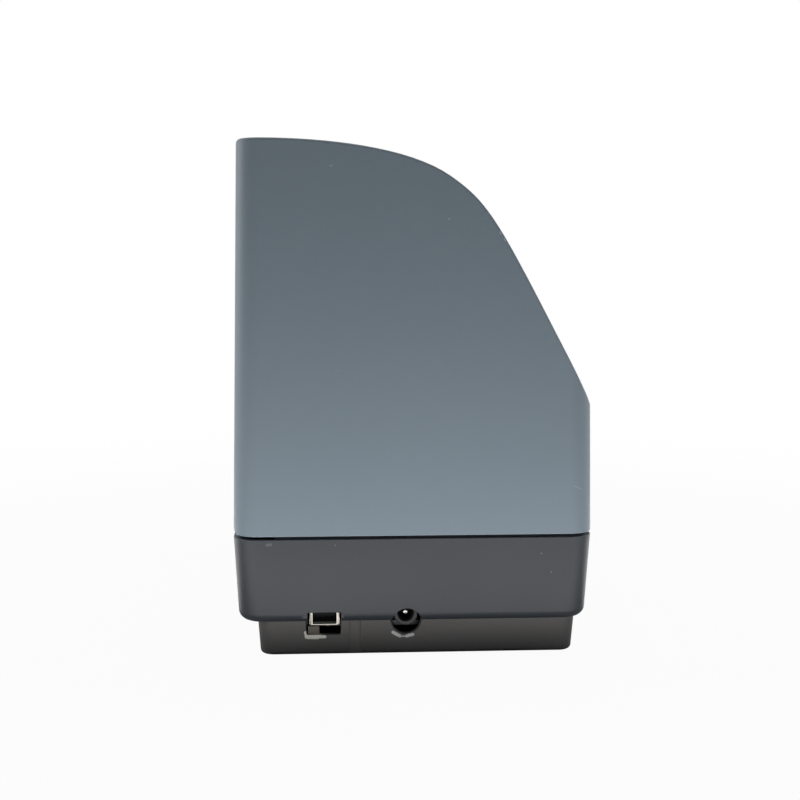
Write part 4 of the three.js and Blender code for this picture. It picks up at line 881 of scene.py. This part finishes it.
def makeJack():
    x, z, face, bore, outer = jack["x"], jack["z"], jack["face"], jack["bore"], jack["barrel"]
    body = softBlock("power_jack_case", (x - jack["half"], face + jack["collar"], usb["bottom"]),
                     (x + jack["half"], face + jack["depth"], jack["top"]), 0.4, 3)
    barrel = turned("power_jack_barrel", [(bore, 0.45), (bore + 0.25, 0.05), (outer - 0.35, 0), (outer, 0.35),
                                          (outer, 3.5), (bore, 3.5), (bore, 0.45)], (x, face, z), 48, "Y")
    combine(body, [rod("bore", bore, (x, face, z), (x, face + 10.6, z), 48)])
    present(body, "black", "base", "power_jack")
    present(barrel, "collar", "base")
    pin = turned("jack_pin", [(0.45, 2), (0.75, 2.12), (0.9, 2.45), (0.9, 10.3)], (x, face, z), 32, "Y")
    present(pin, "tin", "base", "power_jack_pin")


makeUsb()
makeJack()
print("sockets modelled")


# feet and screws

def makeFeet():
    radius = foot["radius"]
    first = turned("rubber_foot_1", [(radius - 3.4, 0.35), (radius - 3.0, 0), (radius - 0.7, 0),
                                     (radius - 0.2, 0.35), (radius, 0.9), (radius, foot["thickness"])],
                   sides=48)
    for i, (x, y) in enumerate(footPlaces()):
        present(copyOf(first, f"rubber_foot_{i + 1}", (x, y, 0)), "rubber", "base", f"foot_{i + 1}")
    discard(first)


def crossTool(half, width, low, high):  # two crossed bars, for the recess of a screw
    bars = [block("bar", (-x, -y, low), (x, y, high)) for x, y in ((half, width), (width, half))]
    return combine(bars[0], [bars[1]], "UNION")


def makeScrews():
    seat = 3.3
    first = turned("screw", [(1.6, seat - 2), (2.5, seat - 1.9), (3.0, seat - 1.3), (3.1, seat - 0.9),
                             (3.1, seat), (1.5, seat), (1.5, 18.5), (0.3, 20)], sides=36)
    combine(first, [crossTool(1.7, 0.35, 0, seat - 0.9)])
    for i, (x, y) in enumerate(screwPlaces()):
        piece = copyOf(first, f"screw_{i + 1}", (x, y, 0), 24 + 31 * i)
        present(piece, "steel", "base", f"case_screw_{i + 1}")
    discard(first)


makeFeet()
makeScrews()
print("feet and screws modelled")


# hinge rod and lamp

def makeHingeRod():
    span = hinge["span"]
    pin = turned("hinge_pin", [(0.6, 0), (hinge["rod"], 0.4), (hinge["rod"], span - 0.4), (0.6, span)],
                 (hinge["x"], -span / 2, hinge["z"]), 24, "Y")
    present(pin, "steel", "base", "hinge_rod")


def makeLamp():
    place = [statusLamp[key] for key in "xyz"]
    lens = turned("status_lamp_lens", [(3.3, 0), (3.6, 0.25), (3.6, 1.2), (2.4, 1.2), (2.4, 3.3), (2.2, 3.7),
                                       (1.6, 3.92), (0.6, 4.0)], place, 36, "Y")
    present(lens, "lamp", "base", "status_lamp")


makeHingeRod()
makeLamp()


# paper path

path = {
    "turnX": 4, "turnY": -52, "radius": 30, "low": 22.3, "top": 112, "end": 106.5, "flare": 2.6,
    "flareLength": 14, "rim": 0.9, "rimDepth": 1.6, "reach": 3.9,
    "windowHalf": 8.88, "windowLows": (32.8, 68.8), "windowHeight": 18.4,
}
stations = ((24, 62, 1), (24, -30, 1), (-16, -30, -1), (-16, 62, -1))  # shaft places and the lane's side


def laneOf(side):
    return lanes["entry"] if side > 0 else lanes["exit"]


def pathForm(name, offset, low, top, beyond=0):  # the filled U at an offset from the cheque's own line
    turnX, turnY, length = path["turnX"], path["turnY"], path["flareLength"]
    reach, end = path["radius"] + offset, path["end"] + beyond
    form = block(name, (turnX - reach, turnY, low), (turnX + reach, end, top))
    combine(form, uprights("bend", reach, [(turnX, turnY)], low, top, 112), "UNION")
    pick(form, "FACE", lambda c, n: True)
    bpy.ops.mesh.bisect(plane_co=(0, (path["end"] - length) * mm, 0), plane_no=(0, 1, 0))
    move = math.copysign(path["flare"], offset) * (length + beyond) / length
    for side in (-1, 1):
        pick(form, "VERT", lambda v: v.y > end - 0.1 and (v.x - turnX) * side > 0)
        bpy.ops.transform.translate(value=(side * move * mm, 0, 0))
    deselect()
    return form


def stationWindows():
    reach, half, height = path["reach"], path["windowHalf"], path["windowHeight"]
    places = [(laneOf(side), y, low) for _, y, side in stations for low in path["windowLows"]]
    return join([block("window", (x - reach, y - half, low), (x + reach, y + half, low + height))
                 for x, y, low in places], "windows")


def makeGuide(name, node, near, far, holes):
    low, top = path["low"], path["top"]
    wall = pathForm(name, far, low, top)
    if far > 0:
        combine(wall, [pathForm("rim", far + path["rim"], top - path["rimDepth"], top)], "UNION")
    tools = [pathForm("inside", near, low - 3, top + 3, 5), stationWindows()]
    combine(wall, tools + [block("hole", start, end) for start, end in holes])
    present(wall, "guide", "base", node)


# the guides' holes are for the front imager, the magnetic head and the ink's snout, then the rear imager
makeGuide("outer_guide_wall", "outer_guide", 1.4, 3.6,
          [((35.1, -1.33, 20), (43.3, 13.27, 100.3)), ((35.1, 28.66, 20), (43.3, 43.26, 41.6)),
           ((-35.3, 11.66, 43.7), (-27.1, 28.26, 60.3))])
makeGuide("inner_guide_wall", "inner_guide", -3.6, -1.4, [((24.7, 22.68, 20), (32.9, 37.28, 100.3))])
print("paper path modelled")


# rollers and belt

band = {"lows": (34, 70), "height": 16}
pulley = {
    "teeth": 24, "toothRing": 7.12, "groove": 0.5,
    "rim": [(8.65, 115.6), (8.9, 115.85), (8.9, 116.25), (8.65, 116.5), (7.0, 116.5), (7.0, 123.3),
            (6.75, 123.6)],
}
belt = {"low": 117.2, "top": 122.6, "inner": 7.6, "outer": 8.5, "pitch": 1.85}
bridge = {
    "screwX": (-17.4, 25.4), "screwY": (-67, 0), "screwZ": 113.8, "motorScrewX": 10.5, "motorScrewZ": 113.9,
}
motorPlace = Vector((4, 86, 0))


def ringBand(low, high, inner, outer, grooves, depth):  # a rubber band with rounded lands
    profile = [(inner, low), (outer - 0.4, low), (outer, low + 0.4)]
    pitch = (high - low) / (grooves + 1)
    for i in range(grooves):
        middle = low + pitch * (i + 1)
        profile += [(outer, middle - 0.45), (outer - depth, middle - 0.2), (outer - depth, middle + 0.2),
                    (outer, middle + 0.45)]
    profile += [(outer, high - 0.4), (outer - 0.4, high), (inner, high), (inner, low)]
    return turned("band", profile, sides=64)


def bandPair(*sizes):
    return join([ringBand(low, low + band["height"], *sizes) for low in band["lows"]], "bands")


def coreForm(bore, under, neck, sides):  # carries the two bands, and is narrower between them
    return turned("core", [(bore, 34.3), (under, 34.3), (under, 49.7), (neck, 50.0), (neck, 70.0),
                           (under, 70.3), (under, 85.7), (bore, 85.7), (bore, 34.3)], sides=sides)


def toothedPulley(name, under, over):
    drum = turned(name, under + pulley["rim"] + over, sides=72)
    angles = [i * math.tau / pulley["teeth"] for i in range(pulley["teeth"])]
    places = [(pulley["toothRing"] * math.cos(a), pulley["toothRing"] * math.sin(a)) for a in angles]
    return combine(drum, [join(uprights("groove", pulley["groove"], places, 116.7, 125, 12), "grooves")])


def makeDrive():
    shaft = turned("shaft", [(2.0, 19.3), (2.35, 19.65), (2.35, 124.0), (1.95, 124.4), (0.7, 124.4),
                             (0.3, 124.0)], sides=36)
    clip = turned("clip", [(2.2, 111.2), (4.0, 111.2), (4.0, 111.8), (2.2, 111.8), (2.2, 111.2)], sides=36)
    combine(clip, [block("gap", (1, -0.9, 110), (6, 0.9, 113))])
    shaft = join([shaft, clip], "shaft")
    tyres, core = bandPair(5.6, 10, 5, 0.5), coreForm(2.65, 5.7, 5.0, 48)
    drum = toothedPulley("pulley", [(2.45, 115.6)],
                         [(4.3, 123.6), (4.1, 123.2), (2.6, 123.2), (2.45, 123.2), (2.45, 115.6)])
    kinds = ((shaft, "shaft_rod", "steel", "drive_shaft"), (tyres, "tyre_bands", "rubber", "drive_tyre"),
             (core, "tyre_core", "guide", None), (drum, "toothed_pulley", "alloy", "drive_pulley"))
    for i, (x, y, _) in enumerate(stations):
        for form, name, finish, node in kinds:
            piece = copyOf(form, f"{name}_{i + 1}", (x, y, 0), 20 + 47 * i)
            replaced = [f"{node}_{i + 1}"] if node else []
            present(piece, finish, f"drive_roller_{i + 1}", *replaced, slotted=bool(node))
    discard(shaft, tyres, core, drum)
    motorPulley = toothedPulley("motor_toothed_pulley", [(1.2, 103.4), (1.5, 103.7), (1.5, 115.6)],
                                [(2.1, 123.6), (1.9, 123.3), (1.5, 123.3), (1.5, 123.5), (1.2, 123.6)])
    motorPulley.data.transform(Matrix.Translation(motorPlace * mm))
    present(motorPulley, "alloy", "motor_rotor", "motor_pulley")


def makeBelt():
    low, top, inner, outer, pitch = belt["low"], belt["top"], belt["inner"], belt["outer"], belt["pitch"]
    centres = [Vector(c) for c in ((-16, -30), (24, -30), (24, 62), (4, 86), (-16, 62))]
    tooth = bevelEdges(block("tooth", (-0.45, -7.8, low), (0.45, -7.35, top)),
                       lambda a, b: abs(a.z - b.z) > 1 and a.y > -7.5, 0.2, 2)
    parts = []
    for i, centre in enumerate(centres):
        before, after = centre - centres[i - 1], centres[(i + 1) % len(centres)] - centre
        wrap = turned("wrap", [(inner, low), (outer, low), (outer, top), (inner, top), (inner, low)],
                      centre.to_3d(), 120)
        for direction in (-before, after):  # keeps the arc between the two runs
            pick(wrap, "FACE", lambda c, n: True)
            cutBeyond(centre.to_3d(), direction.to_3d(), 0.001)
            deselect()
        heading = math.degrees(math.atan2(after.y, after.x))
        run = block("run", (-0.01, -outer, low), (after.length + 0.01, -inner, top))
        parts += [wrap, copyOf(run, "run", centre.to_3d(), heading)]
        discard(run)
        for step in range(int(after.length / pitch) + 1):
            place = centre + after * (step * pitch / after.length)
            parts.append(copyOf(tooth, "tooth", place.to_3d(), heading))
    discard(tooth)
    present(join(parts, "toothed_belt"), "belt", "base", "drive_belt")


def makeMotor():
    profile = [(4.4, 70.6), (4.8, 70), (11.9, 70), (12.4, 70.4), (12.4, 72), (13.3, 72), (14, 72.7)]
    for low, high in ((77.0, 78.1), (106.6, 107.7)):  # a fine groove round the can
        profile += [(14, low), (13.75, low + 0.2), (13.75, high - 0.2), (14, high)]
    profile += [(14, 111.3), (13.3, 112), (5, 112), (5, 114.7), (4.7, 115), (2.2, 115), (1.9, 114.7),
                (1.9, 103)]
    can = turned("motor_can", profile, motorPlace, 72)
    vents = [block("vent", (-2.2, 12.6, 74.5), (2.2, 15, 76.2)) for _ in range(3)]
    for i, vent in enumerate(vents):
        vent.data.transform(Matrix.Translation(motorPlace * mm) @ Matrix.Rotation(i * math.tau / 3, 4, "Z"))
    combine(can, [join(vents, "vents")])
    tags = [softBlock("tag", (x - 1.2, 85.75, 66.2), (x + 1.2, 86.25, 70.4), 0.2) for x in (-3, 11)]
    present(join([can] + tags, "motor_can"), "zinc", "base", "motor")


def panScrew(radius, tall, slotWidth):  # a round head with a cross recess, standing on z = 0
    head = turned("head", [(radius, 0), (radius, tall * 0.45), (radius * 0.9, tall * 0.75),
                           (radius * 0.6, tall)], sides=36)
    return combine(head, [crossTool(radius * 0.55, slotWidth / 2, tall * 0.45, tall * 2)])


def makeBridge():
    corners = [(x, y) for x in bridge["screwX"] for y in bridge["screwY"]]
    beside = [(motorPlace.x + side * bridge["motorScrewX"], motorPlace.y) for side in (-1, 1)]
    plate = cornerBlock("bridge_plate", (-24.6, -77, 112.3), (32.6, 103, 115.3), 10, 12)
    bevelEdges(plate, lambda a, b: abs(a.z - b.z) < 0.01, 0.35, 2)
    tools = uprights("bearing", 2.8, [(x, y) for x, y, _ in stations], 100, 120, 36)
    tools += uprights("well", 2.3, corners, bridge["screwZ"], 120, 36)
    tools += uprights("neck", 5.3, [motorPlace.xy], 100, 120, 48)
    panel = cornerBlock("panel", (-6, -62, 114.6), (14, 22, 118), 6, 8)
    tools.append(bevelEdges(panel, below(114.6), 0.5, 3))
    tools += uprights("boss", 1.7, beside, bridge["motorScrewZ"], 120, 32)
    combine(plate, tools)
    present(plate, "zinc", "base", "top_bridge")
    large, small = panScrew(2.0, 1.6, 0.5), panScrew(1.45, 1.1, 0.4)
    heads = [copyOf(large, "head", (x, y, bridge["screwZ"]), 15 + 40 * i) for i, (x, y) in enumerate(corners)]
    heads += [copyOf(small, "head", (x, y, bridge["motorScrewZ"]), 33 if x > motorPlace.x else -33)
              for x, y in beside]
    discard(large, small)
    present(join(heads, "bridge_screws"), "steel", "base")


makeDrive()
makeBelt()
makeMotor()
makeBridge()
print("drive modelled")


# pinch rollers on their sprung arms

pinch = {"radius": 6, "reach": 17, "out": 2.4, "low": 30.8, "high": 89.2, "plate": 2, "plateHalf": 2.4}
spring = {"wire": 0.32, "radius": 3.3, "low": 89.6, "pitch": 0.78, "turns": 4}


def armForm(side):
    low, high, half, thick = pinch["low"], pinch["high"], pinch["plateHalf"], pinch["plate"]
    endX, endY = -side * pinch["out"], -pinch["reach"]
    plates = []
    for z in (low, high - thick):
        plate = block("plate", (-half, endY, z), (half, 0, z + thick))
        pick(plate, "VERT", lambda v: v.y < -1)
        bpy.ops.transform.translate(value=(endX * mm, 0, 0))
        plates.append(combine(plate, uprights("end", half, [(endX, endY)], z, z + thick, 32), "UNION"))
    tube = rod("tube", 4.4, (0, 0, low), (0, 0, high), 48)
    web = block("web", (-1, -7.65, low), (1, -2.0, high))
    arm = combine(plates[0], [tube, plates[1], web], "UNION")
    mergeClose(arm, 0.02)
    bpy.ops.object.mode_set(mode="EDIT")
    bpy.ops.mesh.select_all(action="SELECT")
    bpy.ops.mesh.dissolve_limited(angle_limit=math.radians(0.5))
    bevelSharp(arm, 0.25, 50)
    mergeClose(arm, 0.02)
    combine(arm, [rod("bore", 2.8, (0, 0, 20), (0, 0, 100), 48)])
    pin = turned("pin", [(1.1, low), (1.4, low + 0.2), (1.4, high - 0.2), (1.1, high)], (endX, endY, 0), 24)
    return join([arm, pin], "arm")


def torsionSpring(side):
    wire, radius, low = spring["wire"], spring["radius"], spring["low"]
    top = low + spring["pitch"] * spring["turns"]
    deselect()
    bpy.ops.mesh.primitive_circle_add(vertices=10, radius=wire * mm, location=(radius * mm, 0, 0),
                                      rotation=(math.pi / 2, 0, 0))
    coil = settle(bpy.context.object, "spring")
    turn = coil.modifiers.new("coil", "SCREW")
    turn.angle, turn.screw_offset, turn.iterations = math.tau, spring["pitch"] * mm, spring["turns"]
    turn.steps = turn.render_steps = 32
    turn.use_merge_vertices = True
    bpy.ops.object.modifier_apply(modifier=turn.name)
    coil.data.transform(Matrix.Translation(Vector((0, 0, low)) * mm))
    legs = [rod("leg", wire, (radius, 0, low), (radius - side * 1.2, -10.5, low), 10),
            rod("leg", wire, (radius, 0, top), (1.0, 5.2, top), 10)]
    coil = join([coil] + legs, "spring")
    pick(coil, "VERT", lambda v: True)
    bpy.ops.mesh.fill_holes(sides=12)
    bpy.ops.mesh.select_all(action="SELECT")
    bpy.ops.mesh.normals_make_consistent(inside=False)
    deselect()
    return coil


def makePinch():
    arms = {side: armForm(side) for side in (-1, 1)}
    springs = {side: torsionSpring(side) for side in (-1, 1)}
    bands, core = bandPair(4.3, pinch["radius"], 2, 0.35), coreForm(1.7, 4.4, 2.4, 40)
    for i, (_, y, side) in enumerate(stations):
        number, roller, arm = i + 1, f"pinch_roller_{i + 1}", f"pinch_arm_{i + 1}"
        x = laneOf(side) + side * (pinch["radius"] + 0.3)
        post = (x + side * pinch["out"], y + pinch["reach"], 0)
        present(copyOf(arms[side], f"arm_frame_{number}", post), "bed", arm, arm)
        present(copyOf(springs[side], f"arm_spring_{number}", post), "steel", "base")
        present(copyOf(bands, f"roller_bands_{number}", (x, y, 0), 30 * i), "rubber", roller, roller)
        present(copyOf(core, f"roller_core_{number}", (x, y, 0)), "white", roller)
    discard(*arms.values(), *springs.values(), bands, core)


makePinch()
print("pinch rollers modelled")


# imagers, cartridge and driver board

def makeImagers():
    case = softBlock("case", (3.4, -7, 22.6), (11.3, 7, 100), 0.35)
    rails = [softBlock("rail", (1.7, y - 0.85, 22.6), (3.8, y + 0.85, 100), 0.2) for y in (-6.15, 6.15)]
    combine(case, rails, "UNION")
    ribs = [softBlock("rib", (10.6, -5.2, z), (11.7, 5.2, z + 1.2), 0.25) for z in (30, 44, 58, 72, 86)]
    case = join([case] + ribs, "case")
    strip = softBlock("strip", (11.25, 3.6, 24), (12.1, 6.8, 98.6), 0.1)
    chips = [softBlock("chip", (11.9, 4.2, z), (12.1, 6.2, z + 3), 0.06) for z in range(28, 95, 9)]
    strip = join([strip] + chips, "strip")
    plug = softBlock("plug", (5.2, -4, 99.8), (10.2, 4, 102.6), 0.3)
    combine(plug, [block("mouth", (6.1, -3.1, 100.8), (9.3, 3.1, 104))])
    for number, y, turn, node in ((1, 5.97, 0, "front_imager"), (2, 29.98, 180, "rear_imager")):
        place = (lanes["entry"], y, 0)
        present(copyOf(case, f"imager_case_{number}", place, turn), "black", "base", node)
        present(copyOf(strip, f"imager_strip_{number}", place, turn), "board", "base")
        present(copyOf(plug, f"imager_plug_{number}", place, turn), "white", "base")
    discard(case, strip, plug)


def makeCartridge():
    low, high = (-43.9, 6.06), (-32, 33.86)
    body = cornerBlock("ink_case", (*low, 24.4), (*high, 73.6), 2.1, 5)
    combine(body, [softBlock("snout", (-34.1, 11.96, 44), (-27.4, 27.96, 60), 0.4)], "UNION")
    present(body, "ink", "base", "ink_cartridge")
    cap = cornerBlock("ink_cap", (*low, 73.6), (*high, 76.4), 2.1, 5)
    bevelEdges(cap, above(76.4), 0.5, 3)
    grips = [softBlock("grip", (-42.4, y, 76.2), (-33.5, y + 0.9, 76.9), 0.25) for y in range(12, 29, 2)]
    combine(cap, [join(grips, "grips")], "UNION")
    present(cap, "black", "base")


def makeCapacitors():
    can = turned("can", [(4.2, 0), (4.7, 0.35), (5, 0.8), (5, 1.5), (4.75, 1.8), (4.75, 2.1), (5, 2.4),
                         (5, 10.3), (4.6, 10.75)], axis="X")
    lid = turned("lid", [(4.75, 10.6), (4.5, 10.85), (4.3, 10.85), (4.15, 10.7), (0.6, 10.7)], axis="X")
    bars = [block("bar", (10.5, -y, -z), (12, y, z)) for y, z in ((3.2, 0.2), (0.2, 3.2))]
    combine(lid, [combine(bars[0], [bars[1]], "UNION")])
    for number, y in ((1, -59.5), (2, -45)):
        place = (-41.8, y, 37.6)
        present(copyOf(can, f"capacitor_sleeve_{number}", place), "ink", "base", f"capacitor_{number}")
        present(copyOf(lid, f"capacitor_lid_{number}", place), "alloy", "base")
    discard(can, lid)


# rows of legs on the driver board: first one, pitch, count, height, the rows' lower edges
driverLegs = ((-67.4, 1.2, 8, 1.4, (54.7, 65.9)), (-49.6, 1.35, 5, 1.2, (58.9, 64.9)))


def onBoard(name, y, z, deep, wide, tall, radius):  # a part on the driver board's face, from its low corner
    face = -42.4
    return softBlock(name, (face, y, z), (face + deep, y + wide, z + tall), radius)


def makeDriverParts():
    chips = [onBoard("chip", -68, 56, 1.6, 10, 10, 0.15), onBoard("chip", -50, 60, 1.4, 7, 5, 0.15),
             onBoard("chip", -34, 52.5, 3.2, 10, 15, 0.3), onBoard("chip", -21, 72, 1.4, 5, 7, 0.15)]
    for _ in range(26):
        y, z = random.uniform(-76, -16), random.uniform(50, 95)
        if -70 < y < -56 and 54 < z < 68 or -52 < y < -41 and 58 < z < 67 or -37 < y < -14 and z < 88:
            continue  # a chip or the pinch roller is there
        chips.append(onBoard("part", y, z, 0.7, 1.6, 0.9, 0.1))
    present(join(chips, "driver_chips"), "black", "base")
    legs = []
    for start, pitch, count, tall, rows in driverLegs:
        legs += [onBoard("leg", start + i * pitch, z, 0.5, 0.5, tall, 0.08)
                 for i in range(count) for z in rows]
    present(join(legs, "driver_legs"), "tin", "base")
    sockets = [onBoard("socket", y, 88, 4.6, 11, 6.5, 0.25) for y in (-74, -60, -46)]
    for socket, y in zip(sockets, (-74, -60, -46)):
        combine(socket, [block("mouth", (-41.5, y + 0.9, 90), (-38.6, y + 10.1, 96))])
    present(join(sockets, "driver_sockets"), "white", "base")


def makeContacts():
    face = usb["face"]
    strips = [softBlock("strip", (x - 0.5, face + 2.4, z - 0.1), (x + 0.5, face + 8.2, z + 0.1), 0.07)
              for x in (usb["x"] - 1.3, usb["x"] + 1.3) for z in (usb["tongueLow"], usb["tongueTop"])]
    present(join(strips, "usb_contacts"), "gold", "base")


makeImagers()
makeCartridge()
makeCapacitors()
makeDriverParts()
makeContacts()
print("imagers, cartridge and boards modelled")


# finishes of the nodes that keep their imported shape

keptFinishes = {
    # the main board takes the near-black copy of the resin, painted shade in the gaps beside the sockets
    "main_board": "paintedShadeBoard", "driver_board": "board", "track_bed": "bed", "cartridge_holder": "guide",
    "front_imager_glass": "glass", "rear_imager_glass": "glass", "magnetic_head": "brass",
    "magnetic_head_spring": "steel",
}
for name, finish in keptFinishes.items():
    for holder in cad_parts[name].material_slots:
        holder.material = finishes[finish]
print("kept nodes finished")
